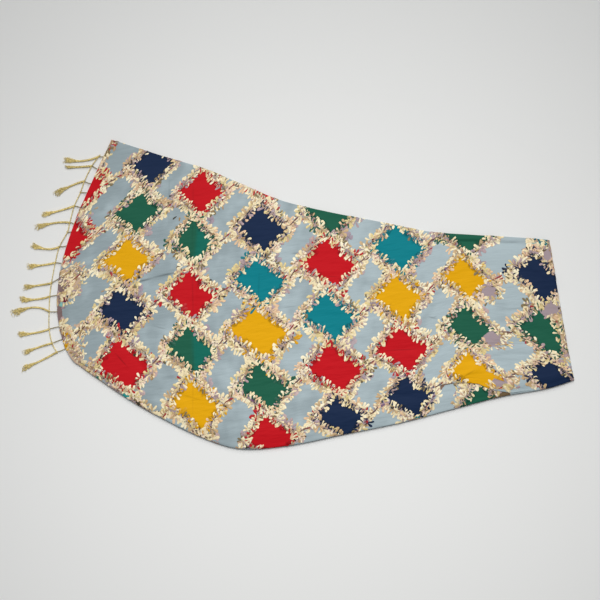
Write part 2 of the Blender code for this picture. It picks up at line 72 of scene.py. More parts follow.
# The outline, one row for each weft line from the fringed end to the cross fold: where the line
# starts on the front fold, where it ends on the back edge, and how far it bows left.
Section = namedtuple("Section", "front_x front_y back_x back_y bow")
SECTIONS = (
    Section(-397.2, -128.3, -335.5, 287.6, 59.2),
    Section(-355.8, -157.3, -305.9, 278.4, 44.4),
    Section(-300.5, -194.2, -268.9, 266.4, 33.3),
    Section(-245.2, -225.6, -224.5, 252.5, 25.0),
    Section(-173.3, -260.5, -163.4, 234.0, 18.5),
    Section(-98.4, -283.1, -98.7, 207.2, 13.0),
    Section(-6.7, -277.0, -22.8, 175.8, 9.2),
    Section(93.0, -256.7, 60.4, 155.4, 6.5),
    Section(196.6, -235.5, 160.3, 136.0, 4.6),
    Section(289.0, -211.4, 249.1, 118.4, 3.7),
    Section(381.6, -187.4, 334.2, 111.9, 2.8),
    Section(464.9, -172.6, 413.8, 107.3, 1.9),
    Section(519.2, -156.4, 473.0, 102.7, 1.9),
)
BOW_SKEW = 0.716

# How high the pile stands, and how far in from each edge it reaches that height.
PILE_HEIGHT = 11.4 * MM
FRONT_FOLD_HEIGHT = 10.6 * MM
CROSS_FOLD_HEIGHT = 10.0 * MM
BACK_EDGE_HEIGHT = 6.8 * MM
FRINGED_EDGE_HEIGHT = 7.0 * MM
CURLED_EDGE_HEIGHT = 5.0 * MM
FRONT_CORNER_HEIGHT = 8.6 * MM
FRONT_RISE = 0.06
BACK_RISE = 0.16
CROSS_FOLD_RISE = 0.04
FRINGED_RISE = 0.07
CURL_REACH = 0.48
CURL_FULL = 0.29
CURL_NARROWS = 0.45
CORNER_REACH = 0.10

# The folds: how far they stand out past the flat of the layer, their drop and their turn.
FRONT_FOLD_REACH = 7.5 * MM
CROSS_FOLD_REACH = 5.5 * MM
HEM_REACH = 0.8 * MM
HEM_DROP = 0.5 * MM
FRONT_LOBE = 2.85 * MM
FRONT_LOBE_SHARE = 0.28
FRONT_FOLD_TURN = math.radians(150)
CROSS_FOLD_TURN = math.radians(170)
HEM_TURN = math.radians(90)
REST_CLEARANCE = 0.4 * MM
LAYER_DROP = 1.95 * MM

# Creases, from start to end, with a sideways sway in the middle. A ridge has a positive rise and a
# trough a negative one. Sharpness 0 is a soft wave and 1 a pressed line.
Crease = namedtuple("Crease", "start_x start_y end_x end_y half_width rise sway sharpness")
CREASES = (
    # Pressed in storage: down the stole, and along the back edge's rolled band.
    Crease(-186, 232, -184, -252, 9, -1.0, 2, 0.9),
    Crease(-150, 215, -150, -240, 18, 0.7, 4, 0.0),
    Crease(-62, 190, -66, -270, 8, 0.45, 3, 0.8),
    Crease(275, 99, 430, 95, 5, -2.2, 1, 0.8),
    Crease(275, 108, 430, 103, 6, 1.0, 1, 0.2),
    # Larger drapes.
    Crease(-345, -60, -262, -158, 9, -1.0, 6, 0.8),
    Crease(-305, 22, -206, 45, 6, -1.1, -5, 0.9),
    Crease(-300, 30, -214, 50, 9, 0.6, -5, 0.2),
    Crease(140, -104, 274, -97, 9, -0.8, 3, 0.7),
    Crease(-20, 60, 150, 20, 20, 0.7, -8, 0.0),
    Crease(300, -20, 440, -50, 16, 0.7, 5, 0.1),
    Crease(-330, 120, -230, 90, 16, -0.7, 4, 0.2),
    Crease(-60, -150, 90, -170, 16, -0.7, -5, 0.2),
    Crease(30, -60, 120, -110, 13, 0.6, 4, 0.2),
    Crease(300, -120, 480, -130, 10, -0.8, 4, 0.5),
    Crease(300, -152, 345, -132, 7, 0.9, 0, 0.9),
    Crease(-420, -20, -330, 40, 18, 0.6, 8, 0.1),
    Crease(-395, -90, -330, -40, 14, -0.6, -6, 0.3),
    # Short wrinkles.
    Crease(-264, -57, -226, -64, 4, -0.7, 2, 0.8),
    Crease(-6, 76, 24, 80, 4, -0.7, -1, 0.9),
    Crease(44, 36, 100, 34, 5, -0.6, 2, 0.8),
    Crease(110, 22, 148, 14, 5, -0.5, 2, 0.6),
    Crease(96, 58, 140, 50, 5, 0.5, -2, 0.6),
    Crease(205, 20, 250, 12, 5, -0.6, 2, 0.7),
    Crease(-238, -152, -176, -170, 6, -0.8, 3, 0.7),
    Crease(-246, -176, -190, -188, 6, -0.7, -3, 0.6),
    Crease(-120, -4, -84, -14, 5, -0.5, -2, 0.6),
    Crease(-136, 60, -100, 78, 5, 0.5, 2, 0.5),
    Crease(-10, -176, 46, -184, 6, -0.6, 2, 0.5),
    Crease(212, -106, 262, -118, 6, 0.6, -3, 0.5),
    Crease(250, -70, 300, -62, 6, -0.6, 3, 0.6),
    Crease(380, -30, 430, -24, 5, -0.5, -2, 0.7),
    Crease(350, -92, 452, -86, 5, -0.6, 2, 0.7),
    Crease(370, -110, 440, -108, 4, -0.5, 1, 0.7),
    Crease(420, 60, 476, 30, 8, 0.7, 3, 0.4),
    Crease(430, -60, 492, -84, 8, -0.7, 3, 0.5),
    Crease(60, -204, 118, -206, 6, -0.6, 2, 0.5),
    Crease(160, -186, 232, -188, 6, -0.6, 2, 0.5),
    Crease(-300, 196, -246, 180, 6, -0.6, 2, 0.6),
    Crease(-360, 168, -300, 150, 7, 0.6, -3, 0.4),
    Crease(-210, 160, -160, 146, 6, -0.5, 2, 0.6),
    Crease(60, 110, 120, 92, 6, -0.5, 2, 0.6),
    Crease(170, 70, 215, 62, 6, 0.5, -2, 0.5),
    Crease(-60, 120, -6, 104, 6, -0.5, 2, 0.5),
)
# A crease fades in between these shares of its length, and rises this many times as far as its row
# says.
CREASE_FADE = (-0.1, 0.2)
CREASE_DEPTH = 2.0
# The face rounds off towards the front fold, and no crease runs over the borders.
FRONT_DROP = 2.2 * MM
FRONT_DROP_REACH = 0.06
PLAIN_END = 0.03
PLAIN_EDGE = 0.05

# The tuck near the front right corner: the cloth behind this line laps over the cloth before it.
TUCK_X = (273, 301, 342, 364, 404, 440)
TUCK_Y = (-166, -159, -162, -173, -179, -174)
# It stands this high, its step is this deep, its rise dies out this far behind its line, and it
# hides this much cloth between these shares of its step.
TUCK_RISE = 2.2 * MM
TUCK_DEPTH = 7.0 * MM
TUCK_SPREAD = 80.0 * MM
TUCK_HIDES = 34.0 * MM
TUCK_HIDDEN_SHARE = (0.9, 0.1)
# Where it starts, is fully laid, begins to fade and ends.
TUCK_ENDS = (268, 296, 404, 438)
# Its flap is rooted this far behind the step, floats this much over the cloth, curls under at its
# edge with this radius and narrows to this share at its ends. It lies on the filled step, which is
# filled this far before the line.
FLAP_ROOT = 1.5 * MM
FLAP_LIFT = 0.06 * MM
FLAP_CURL = 1.0 * MM
FLAP_NARROWEST = 0.15
FLAP_GROUND_REACH = 20 * MM
FLAP_CURL_STEPS = 6
FLAP_ROWS = 6
FLAP_CELLS = 90


def soft_step(low, high, value):
    """0 below low, 1 above high and an S-curve between them."""
    share = np.clip((value - low) / (high - low), 0, 1)
    return share * share * (3 - 2 * share)


def spline_weights(share):
    """The weights of four neighbours at a share of the way between the middle two."""
    return (
        (2 * share**2 - share - share**3) / 2,
        (2 - 5 * share**2 + 3 * share**3) / 2,
        (share + 4 * share**2 - 3 * share**3) / 2,
        (share**3 - share**2) / 2,
    )


def reached(table):
    """A table with a row more at each end, in line with its last two."""
    return np.concatenate([2 * table[:1] - table[1:2], table, 2 * table[-1:] - table[-2:-1]])


def through_rows(rows, place):
    """The values of a table at places from 0 to 1 along it, on a smooth curve through its rows."""
    longer = reached(np.asarray(rows, float))
    spot = np.asarray(place, float) * (len(rows) - 1)
    index = np.clip(np.floor(spot).astype(int), 0, len(rows) - 2)
    weights = spline_weights((spot - index)[..., None])
    return sum(weight * longer[index + k] for k, weight in enumerate(weights))


def plan(along, across):
    """Points of the outline plane: along is 0 at the fringe, across is 0 at the front fold."""
    front_x, front_y, back_x, back_y, bow = np.moveaxis(through_rows(SECTIONS, along), -1, 0)
    x = front_x + (back_x - front_x) * across - bow * np.sin(np.pi * across**BOW_SKEW)
    y = front_y + (back_y - front_y) * across
    return np.stack([x, y], -1) * MM


def crease_height(points):
    """How far the creases lift or lower the cloth."""
    height = np.zeros(points.shape[:-1])
    for crease in CREASES:
        start = np.array([crease.start_x, crease.start_y]) * MM
        run = np.array([crease.end_x, crease.end_y]) * MM - start
        length = np.linalg.norm(run)
        share = (points - start) @ run / length**2
        side = (points - start) @ np.array([-run[1], run[0]]) / length
        off = np.abs(side - crease.sway * MM * np.sin(np.pi * np.clip(share, 0, 1)))
        ends = soft_step(*CREASE_FADE, share) * soft_step(*CREASE_FADE, 1 - share)
        fall = (off / (crease.half_width * MM)) ** (2 - crease.sharpness)
        height += CREASE_DEPTH * crease.rise * MM * ends * np.exp(-fall)
    return height


def behind_tuck(points):
    """How far points lie behind the tuck's line, and how fully the tuck is laid there."""
    x = points[..., 0] / MM
    line = np.interp(x, TUCK_X, TUCK_Y) * MM
    first, full, fading, last = TUCK_ENDS
    laid = soft_step(first, full, x) * soft_step(last, fading, x)
    return points[..., 1] - line, laid


def pile_height(along, across, points, flap=False):
    """The height of the upper layer's face, or of the tuck's flap as it comes over the line."""
    curl = soft_step(CURL_REACH, CURL_FULL, across)
    corner = soft_step(CORNER_REACH, 0, across)
    fringed = FRINGED_EDGE_HEIGHT + (CURLED_EDGE_HEIGHT - FRINGED_EDGE_HEIGHT) * curl
    fringed = fringed + (FRONT_CORNER_HEIGHT - fringed) * corner
    height = PILE_HEIGHT - (PILE_HEIGHT - FRONT_FOLD_HEIGHT) * soft_step(FRONT_RISE, 0, across)
    height = height - (PILE_HEIGHT - BACK_EDGE_HEIGHT) * soft_step(BACK_RISE, 0, 1 - across)
    height = height - (PILE_HEIGHT - CROSS_FOLD_HEIGHT) * soft_step(CROSS_FOLD_RISE, 0, 1 - along)
    reach = FRINGED_RISE * (1 - CURL_NARROWS * curl)
    height = fringed + (height - fringed) * soft_step(0, reach, along)
    inside = soft_step(0, PLAIN_END, along) * soft_step(0, PLAIN_END, 1 - along)
    inside = inside * soft_step(0, PLAIN_EDGE, across) * soft_step(0, PLAIN_EDGE, 1 - across)
    height = height + crease_height(points) * inside
    height = height - FRONT_DROP * (1 - np.clip(across / FRONT_DROP_REACH, 0, 1)) ** 2
    behind, laid = behind_tuck(points)
    step = 1.0 if flap else soft_step(0, TUCK_DEPTH, behind)
    return height + TUCK_RISE * laid * step * soft_step(TUCK_SPREAD, TUCK_DEPTH, behind)


# --- The lattice of lozenges ---------------------------------------------------------------------

# The woven repeat: lozenges stand this far apart along the cloth and across it.
PITCH_ALONG = 128 * MM
PITCH_ACROSS = 93 * MM

# Where the lozenges' centres lie on the unrolled cloth in mm, column by column, each from the back
# row down. The cloth was folded and pressed by hand, so its columns bow and its rows rise to the
# right. These places were fitted outside this script.
FIRST_COLUMN = -2
FIRST_ROW = -1
LATTICE = (
    (
        (-602, 141), (-639, 68), (-667, -14), (-686, -104), (-695, -200),
        (-694, -302), (-683, -412), (-664, -530), (-635, -654), (-597, -786),
    ),
    (
        (-472, 203), (-509, 130), (-540, 44), (-560, -47), (-569, -142),
        (-568, -243), (-557, -352), (-538, -467), (-509, -590), (-471, -720),
    ),
    (
        (-352, 316), (-380, 203), (-414, 100), (-440, 16), (-443, -85),
        (-442, -185), (-431, -291), (-411, -405), (-383, -526), (-345, -653),
    ),
    (
        (-236, 324), (-260, 241), (-288, 154), (-307, 67), (-318, -27),
        (-316, -127), (-305, -233), (-285, -346), (-256, -465), (-219, -590),
    ),
    (
        (-130, 370), (-150, 280), (-172, 191), (-184, 101), (-192, 2),
        (-190, -99), (-181, -202), (-164, -311), (-142, -421), (-112, -536),
    ),
    (
        (2, 426), (-27, 323), (-48, 222), (-61, 122), (-63, 28),
        (-67, -66), (-56, -169), (-43, -261), (-25, -351), (1, -440),
    ),
    (
        (103, 490), (85, 375), (72, 265), (66, 160), (65, 59),
        (66, -38), (76, -136), (86, -224), (102, -311), (123, -395),
    ),
    (
        (242, 485), (222, 381), (207, 279), (198, 181), (193, 87),
        (193, -3), (203, -101), (213, -187), (230, -277), (254, -366),
    ),
    (
        (342, 509), (329, 409), (321, 310), (317, 213), (316, 120),
        (314, 34), (323, -58), (328, -139), (358, -246), (370, -331),
    ),
    (
        (461, 555), (454, 449), (451, 343), (451, 237), (452, 134),
        (451, 33), (465, -72), (482, -157), (494, -266), (512, -374),
    ),
    (
        (588, 589), (582, 477), (580, 365), (581, 253), (583, 143),
        (588, 35), (598, -70), (611, -170), (625, -277), (643, -388),
    ),
    (
        (717, 609), (712, 497), (709, 383), (710, 269), (713, 156),
        (718, 43), (728, -68), (740, -179), (754, -293), (771, -412),
    ),
)
WIDER_LATTICE = reached(np.moveaxis(reached(np.moveaxis(np.array(LATTICE, float), 1, 0)), 0, 1))
# The lozenges' colours, a letter each, laid out as LATTICE is.
COLOUR_LETTERS = (
    "gnyrtgrnyg",
    "yrtngyrtng",
    "rrrlygnrty",
    "tngynrtygn",
    "ytrgrgytnr",
    "gyrntygrnt",
    "rnygrtrnyg",
    "ngrytyrnty",
    "yrntgygygr",
    "rtyrtngnrt",
    "nygrtynrgy",
    "gtrnyrgtny",
)


# Lozenges that were woven larger or smaller than the rest, by column and row.
SIZES = {
    (0, 0): 0.75, (0, 1): 0.88, (0, 2): 0.45, (0, 3): 0.62,
    (1, 3): 0.96, (1, 4): 1.04,
    (2, 2): 0.87, (2, 3): 0.97, (2, 4): 0.94, (2, 5): 0.95,
    (3, 4): 1.14, (3, 5): 0.94, (3, 6): 0.94,
    (4, 3): 1.07, (4, 5): 1.08, (4, 6): 0.93,
    (5, 3): 1.06, (5, 4): 1.01, (5, 5): 1.07, (5, 6): 0.93,
    (6, 4): 0.90, (6, 5): 0.93, (6, 6): 0.88, (6, 7): 0.95,
    (7, 3): 0.8, (7, 4): 0.87, (7, 5): 0.98, (7, 6): 0.9,
}


def lattice_place(column, row):
    """The plan point of a place in the lattice."""
    right = np.asarray(column, float) - FIRST_COLUMN
    down = np.asarray(row, float) - FIRST_ROW
    i = np.clip(np.floor(right).astype(int), 0, len(LATTICE) - 2)
    j = np.clip(np.floor(down).astype(int), 0, len(LATTICE[0]) - 2)
    place = np.zeros(right.shape + (2,))
    for m, by_column in enumerate(spline_weights((right - i)[..., None])):
        for n, by_row in enumerate(spline_weights((down - j)[..., None])):
            place = place + by_column * by_row * WIDER_LATTICE[i + m, j + n]
    return place * MM


def lattice_of(points):
    """The lattice's (column, row) at plan points, found by Newton's steps."""
    x, y = points[..., 0], points[..., 1]
    column = (x / MM + 317) / 127 + 1
    row = 3.5 - (y / MM + 76 - 0.23 * (x / MM + 317)) / 98
    step = 0.01
    for turn in range(14):
        here = lattice_place(column, row)
        by_column = (lattice_place(column + step, row) - here) / step
        by_row = (lattice_place(column, row + step) - here) / step
        miss_x, miss_y = x - here[..., 0], y - here[..., 1]
        area = by_column[..., 0] * by_row[..., 1] - by_column[..., 1] * by_row[..., 0]
        column = column + (miss_x * by_row[..., 1] - miss_y * by_row[..., 0]) / area
        row = row + (miss_y * by_column[..., 0] - miss_x * by_column[..., 1]) / area
        column = np.clip(column, FIRST_COLUMN - 0.9, FIRST_COLUMN + len(LATTICE) - 0.1)
        row = np.clip(row, FIRST_ROW - 0.9, FIRST_ROW + len(LATTICE[0]) - 0.1)
    return column, row


# A lozenge's four tips, by direction from its centre and distance in mm. It leans with the weave.
Tip = namedtuple("Tip", "degrees reach")
TIPS = (Tip(-77, 49), Tip(-16, 52), Tip(98, 49), Tip(166, 48))
POINTS_A_SIDE = 6
# Its sides are hollow by this share. Its leafy border is wider where it meets the next in its column.
HOLLOW = 0.13
BORDER_WIDTH = 9.5
BORDER_AT_KNOTS = 6.0
Edge = namedtuple("Edge", "degrees lozenge border")


def lozenge_edges():
    """A lozenge's outline and its leafy border's outer edge, by direction from its centre."""
    edges = []
    for first, last in zip(TIPS, TIPS[1:] + TIPS[:1]):
        turns = [math.radians(tip.degrees) for tip in (first, last)]
        for k in range(POINTS_A_SIDE):
            share = k / POINTS_A_SIDE
            reaches = first.reach * (1 - share), last.reach * share
            x = sum(reach * math.cos(turn) for reach, turn in zip(reaches, turns))
            y = sum(reach * math.sin(turn) for reach, turn in zip(reaches, turns))
            radius = math.hypot(x, y) * (1 - HOLLOW * math.sin(math.pi * share))
            border = radius + BORDER_WIDTH + BORDER_AT_KNOTS * (y / math.hypot(x, y)) ** 4
            edges.append(Edge(math.degrees(math.atan2(y, x)), radius, border))
    edges.sort()
    # The outline closes behind the lozenge's left tip.
    low, high = edges[0], edges[-1]
    share = (180 - high.degrees) / (low.degrees + 360 - high.degrees)
    radius = high.lozenge + (low.lozenge - high.lozenge) * share
    border = high.border + (low.border - high.border) * share
    return [Edge(-180, radius, border)] + edges + [Edge(180, radius, border)]


LOZENGE = lozenge_edges()
EDGE_TURNS = [edge.degrees for edge in LOZENGE]
EDGE_RADII = [edge.lozenge for edge in LOZENGE]
# The outline's radii reach the material as shares of this one, in mm.
LARGEST_RADIUS = 70.0


# --- Cloth meshes --------------------------------------------------------------------------------

# A sheet's points, where they lie when it is unrolled flat, and its faces.
Sheet = namedtuple("Sheet", "spots unrolled faces")
# The upper layer's grid, the rings round its folds, and how its sides blend at the corners.
ALONG_CELLS = 300
ACROSS_CELLS = 118
RING_STEPS = 9
CORNER_BLEND = 7
CORNER_SIGMA = 3.5
EDGE_FADE = 0.14


def border_order(length, width):
    """The grid's border in order: front fold, cross fold, back edge, fringed edge."""
    front = [(i, 0, 0) for i in range(length)]
    cross = [(length, j, 1) for j in range(width)]
    back = [(i, width, 2) for i in range(length, 0, -1)]
    fringed = [(0, j, 2) for j in range(width, 0, -1)]
    return np.array(front + cross + back + fringed)


def smoothed_round(values, reach, sigma):
    """Values round a closed border, each averaged with its neighbours."""
    steps = np.arange(-reach, reach + 1)
    weights = np.exp(-0.5 * (steps / sigma) ** 2)
    total = sum(w * np.roll(values, -s, axis=0) for s, w in zip(steps, weights))
    return total / weights.sum()


class Border:
    """The stole's border on a grid: its points, outward directions, heights and side shares."""

    def __init__(self, length, width):
        self.order = border_order(length, width)
        i, j, side = self.order.T
        self.along, self.across = i / length, j / width
        self.points = plan(self.along, self.across)
        run = np.roll(self.points, -1, axis=0) - np.roll(self.points, 1, axis=0)
        outward = np.stack([run[:, 1], -run[:, 0]], -1)
        outward /= np.linalg.norm(outward, axis=1)[:, None]
        scale = max(1, round(length / ALONG_CELLS * CORNER_BLEND))
        sigma = CORNER_SIGMA * length / ALONG_CELLS
        outward = smoothed_round(outward, scale, sigma)
        self.outward = outward / np.linalg.norm(outward, axis=1)[:, None]
        self.shares = smoothed_round(np.eye(3)[side], scale, sigma)
        self.height = pile_height(self.along, self.across, self.points)
        self.flat_reach = self.shares @ np.array([FRONT_FOLD_REACH, CROSS_FOLD_REACH, HEM_REACH])


def fold_arcs(border, thinner, steps):
    """Reach past the outline and height, step by step down each side's edge, mixed by its shares."""
    height = border.height
    front_drop = np.minimum(FRONT_LOBE, FRONT_LOBE_SHARE * height) - thinner
    cross_drop = (height - REST_CLEARANCE) / 2 - thinner
    hem_drop = np.full_like(height, HEM_DROP)
    sides = (
        (FRONT_FOLD_REACH, front_drop, FRONT_FOLD_TURN),
        (CROSS_FOLD_REACH, cross_drop, CROSS_FOLD_TURN),
        (HEM_REACH, hem_drop, HEM_TURN),
    )
    rings = []
    for k in range(steps + 1):
        reach = np.zeros_like(height)
        level = np.zeros_like(height)
        for share, (out, drop, turn) in zip(border.shares.T, sides):
            angle = turn * k / steps
            inner_out = max(out - thinner, 0.0)
            reach += share * (inner_out * math.sin(angle) - out)
            level += share * (height - thinner - drop * (1 - math.cos(angle)))
        rings.append((reach, level))
    return rings


def flat_grid(border, length, width, inset):
    """The sheet's face inside its folds: plan points on a grid whose border is drawn in."""
    along, across = np.meshgrid(np.arange(length + 1) / length, np.arange(width + 1) / width)
    along, across = along.T, across.T
    points = plan(along, across)
    shift = np.zeros_like(points)
    rows, columns = border.order.T[:2]
    moved = -border.outward * (border.flat_reach + inset)[:, None]
    shift[rows, columns] = moved
    near = {
        "front": soft_step(EDGE_FADE, 0, across)[..., None],
        "back": soft_step(EDGE_FADE, 0, 1 - across)[..., None],
        "fringed": soft_step(EDGE_FADE, 0, along)[..., None],
        "cross": soft_step(EDGE_FADE, 0, 1 - along)[..., None],
    }
    drawn = near["front"] * shift[:, :1] + near["back"] * shift[:, -1:]
    drawn = drawn + near["fringed"] * shift[:1] + near["cross"] * shift[-1:]
    for end, ends in ((0, "fringed"), (-1, "cross")):
        for edge, edges in ((0, "front"), (-1, "back")):
            drawn = drawn - near[ends] * near[edges] * shift[end, edge]
    return along, across, points + drawn


def grid_faces(length, width):
    """The faces of a grid of that many cells each way."""
    i, j = np.meshgrid(np.arange(length), np.arange(width), indexing="ij")
    corner = (i * (width + 1) + j).ravel()
    return np.stack([corner, corner + width + 1, corner + width + 2, corner + 1], -1)


def ring_faces(first, second):
    """The faces between a closed ring of points and the next one."""
    return np.stack([first, np.roll(first, -1), np.roll(second, -1), second], -1)[:, ::-1]


def upper_sheet():
    """The layer that shows: its face, rolled round both folds and turned down at its woven edges."""
    border = Border(ALONG_CELLS, ACROSS_CELLS)
    along, across, points = flat_grid(border, ALONG_CELLS, ACROSS_CELLS, 0.0)
    height = pile_height(along, across, points)
    behind, laid = behind_tuck(points)
    unrolled = points.copy()
    far, near = TUCK_HIDDEN_SHARE
    unrolled[..., 1] -= TUCK_HIDES * laid * soft_step(TUCK_DEPTH * far, TUCK_DEPTH * near, behind)
    spots = [np.concatenate([points, height[..., None]], -1).reshape(-1, 3)]
    flats = [unrolled.reshape(-1, 2)]
    faces = [grid_faces(ALONG_CELLS, ACROSS_CELLS)]
    rows, columns = border.order.T[:2]
    last = rows * (ACROSS_CELLS + 1) + columns
    laid_from = unrolled[rows, columns]
    rings = fold_arcs(border, 0.0, RING_STEPS)
    travelled = np.zeros(len(last))
    count = len(spots[0])
    for before, (reach, level) in zip(rings, rings[1:]):
        travelled = travelled + np.hypot(reach - before[0], level - before[1])
        ring = border.points + border.outward * reach[:, None]
        spots.append(np.concatenate([ring, level[:, None]], -1))
        flats.append(laid_from + border.outward * travelled[:, None])
        here = count + np.arange(len(last))
        faces.append(ring_faces(last, here))
        last = here
        count += len(here)
    return Sheet(np.vstack(spots), np.vstack(flats), np.vstack(faces))


def tuck_flap(sheet):
    """The lip of the tuck, which comes over the line and curls under."""
    place = np.linspace(0, 1, FLAP_CELLS + 1)
    x = (TUCK_ENDS[0] + (TUCK_ENDS[-1] - TUCK_ENDS[0]) * place) * MM
    y = np.interp(x / MM, TUCK_X, TUCK_Y) * MM
    y = smoothed_line(y, 5)
    run = np.stack([np.gradient(x), np.gradient(y)], -1)
    run /= np.linalg.norm(run, axis=1)[:, None]
    forward = np.stack([run[:, 1], -run[:, 0]], -1)
    line = np.stack([x, y], -1)
    laid = behind_tuck(line)[1]
    table = BVHTree.FromPolygons(flap_ground(sheet), sheet.faces.tolist())
    spots, flats = [], []
    rows = [(-(TUCK_DEPTH + FLAP_ROOT) * (1 - k / FLAP_ROWS), 0.0) for k in range(FLAP_ROWS + 1)]
    for k in range(1, FLAP_CURL_STEPS + 1):
        angle = math.pi * k / FLAP_CURL_STEPS
        rows.append((FLAP_CURL * math.sin(angle), -FLAP_CURL * (1 - math.cos(angle))))
    travelled = rows[0][0]
    before = rows[0]
    for forth, drop in rows:
        travelled += math.hypot(forth - before[0], drop - before[1])
        before = (forth, drop)
        width = (FLAP_NARROWEST + (1 - FLAP_NARROWEST) * laid)[:, None]
        points = line + forward * forth * width
        height = np.array([ray_height(table, point) for point in points])
        spots.append(np.column_stack([points, height + FLAP_LIFT + drop * laid]))
        flats.append(line + forward * travelled * width)
    spots = np.stack(spots, 1).reshape(-1, 3)
    flats = np.stack(flats, 1).reshape(-1, 2)
    return Sheet(spots, flats, grid_faces(FLAP_CELLS, len(rows) - 1)[:, ::-1])


def smoothed_line(values, turns):
    """Values along a line, each averaged with its neighbours, that many times."""
    for turn in range(turns):
        middle = (values[:-2] + 2 * values[1:-1] + values[2:]) / 4
        values = np.concatenate([values[:1], middle, values[-1:]])
    return values


def flap_ground(sheet):
    """The sheet's points with the tuck's step filled, which the flap lies on."""
    points = sheet.spots.copy()
    behind, laid = behind_tuck(points[:, :2])
    step = soft_step(0, TUCK_DEPTH, behind)
    points[:, 2] += TUCK_RISE * laid * (1 - step) * (behind > -FLAP_GROUND_REACH)
    return points.tolist()


def ray_height(table, point):
    """The height of the cloth at a plan point."""
    location, normal, index, distance = table.ray_cast(Vector((*point, 1.0)), Vector((0, 0, -1)))
    return location.z if location is not None else PILE_HEIGHT


# The open edges of the three layers below, from the top down: how far each step stands past the
# outline, and its height as a share of the edge. Lips and clefts take turns.
LIP_COUNT = 3
LIP_STEPS = 6
LIP_REACH = 0.2 * MM
CLEFT_DEPTH = 3.4 * MM
LIP_WANDER = 1.3 * MM
LIP_WAVES = (3, 7, 11, 17, 29)
LIP_SEED = 40
INNER_INSET = 4.0 * MM
# The layers below stay this far inside the folds over them, the open edges and the corners.
FOLD_CLEARANCE = 0.4 * MM
HEM_CLEARANCE = 3.0 * MM
CORNER_CLEARANCE = 2.5 * MM
CROSS_FOLD_INSET = 1.1
CROSS_FOLD_BASE = 2.3 * MM
INNER_ALONG = 150
INNER_ACROSS = 58
LOBE_REACH = 0.1 * MM
LOBE_DEPTH = 4.4 * MM


def wander(count, waves, seed):
    """A gentle uneven wave round a border, between about -1 and 1."""
    draw = random.Random(seed)
    turn = np.arange(count) / count * 2 * np.pi
    total = np.zeros(count)
    for wave in waves:
        total += draw.uniform(0.4, 1) * np.sin(wave * turn + draw.uniform(0, 2 * np.pi))
    return total / len(waves) ** 0.5


def inner_profiles(border):
    """The rings of the layers below, from under the upper layer's edge down to the floor."""
    count = len(border.height)
    top = border.height - LAYER_DROP
    front_top = border.height - 2 * np.minimum(FRONT_LOBE, FRONT_LOBE_SHARE * border.height)
    steps = LIP_COUNT * LIP_STEPS
    lips = [wander(count, LIP_WAVES, LIP_SEED + k) * LIP_WANDER for k in range(LIP_COUNT)]
    rings = []
    for k in range(steps + 1):
        share = k / steps
        lip = min(int(share * LIP_COUNT), LIP_COUNT - 1)
        swing = abs(math.sin(math.pi * share * LIP_COUNT))
        hem_reach = LIP_REACH - np.abs(lips[lip]) - CLEFT_DEPTH * (1 - swing) ** 1.6
        hem_level = top * (1 - share)
        angle = math.pi * share
        lobe_reach = -LOBE_REACH - LOBE_DEPTH * (1 - math.sin(angle) ** 0.8)
        lobe_level = front_top * (1 + math.cos(angle)) / 2
        cross_reach = np.full(count, -CROSS_FOLD_REACH * CROSS_FOLD_INSET)
        cross_level = CROSS_FOLD_BASE * (1 - share)
        reach = border.shares @ np.array([lobe_reach, 0, 0]) + border.shares[:, 1] * cross_reach
        reach = reach + border.shares[:, 2] * hem_reach
        level = border.shares[:, 0] * lobe_level + border.shares[:, 1] * cross_level
        level = level + border.shares[:, 2] * hem_level
        rings.append((reach, level))
    return rings


def inner_sheet():
    """The three layers below: a rounded pile with a lower fold at the front and open lips behind."""
    border = Border(INNER_ALONG, INNER_ACROSS)
    along, across, points = flat_grid(border, INNER_ALONG, INNER_ACROSS, INNER_INSET)
    height = pile_height(along, across, points) - LAYER_DROP
    spots = [np.concatenate([points, height[..., None]], -1).reshape(-1, 3)]
    flats = [points.reshape(-1, 2)]
    faces = [grid_faces(INNER_ALONG, INNER_ACROSS)]
    rows, columns = border.order.T[:2]
    last = rows * (INNER_ACROSS + 1) + columns
    flat_from = points[rows, columns]
    before = (-border.flat_reach - INNER_INSET, border.height - LAYER_DROP)
    travelled = np.zeros(len(last))
    count = len(spots[0])
    under_folds = fold_arcs(border, LAYER_DROP, 4)[1:]
    tucked = border.shares[:, 0] + border.shares[:, 1]
    rings = [(r - FOLD_CLEARANCE - HEM_CLEARANCE * (1 - tucked), v) for r, v in under_folds]
    for reach, level in rings + inner_profiles(border):
        travelled = travelled + np.hypot(reach - before[0], level - before[1])
        before = (reach, level)
        corner = 1 - (border.shares**2).sum(1)
        ring = border.points + border.outward * (reach - corner * CORNER_CLEARANCE)[:, None]
        spots.append(np.concatenate([ring, level[:, None]], -1))
        flats.append(flat_from + border.outward * travelled[:, None])
        here = count + np.arange(len(last))
        faces.append(ring_faces(last, here))
        last = here
        count += len(here)
    return Sheet(np.vstack(spots), np.vstack(flats), np.vstack(faces)), last


# --- Painting the cloth --------------------------------------------------------------------------

# Green, yellow, navy, red and teal silk, and a lozenge that is lost among lilac leaves.
LOZENGE_SHADES = {
    "g": "#1C5843",
    "y": "#D89E04",
    "n": "#152643",
    "r": "#B90F1A",
    "t": "#047680",
    "l": "#8B7672",
}
# The green lozenges whose right side is painted lighter and teal: painted light on the side of the
# pressed crease down them that faces the lamp.
PAINTED_LIGHT_TEAL = "#066A5E"
PAINTED_LIGHT_SHARE = 0.6
PAINTED_LIGHT_LOZENGES = ((2, 2), (2, 4))
# A lozenge's size reaches the material as a share of this one.
LARGEST_SIZE = 2.0

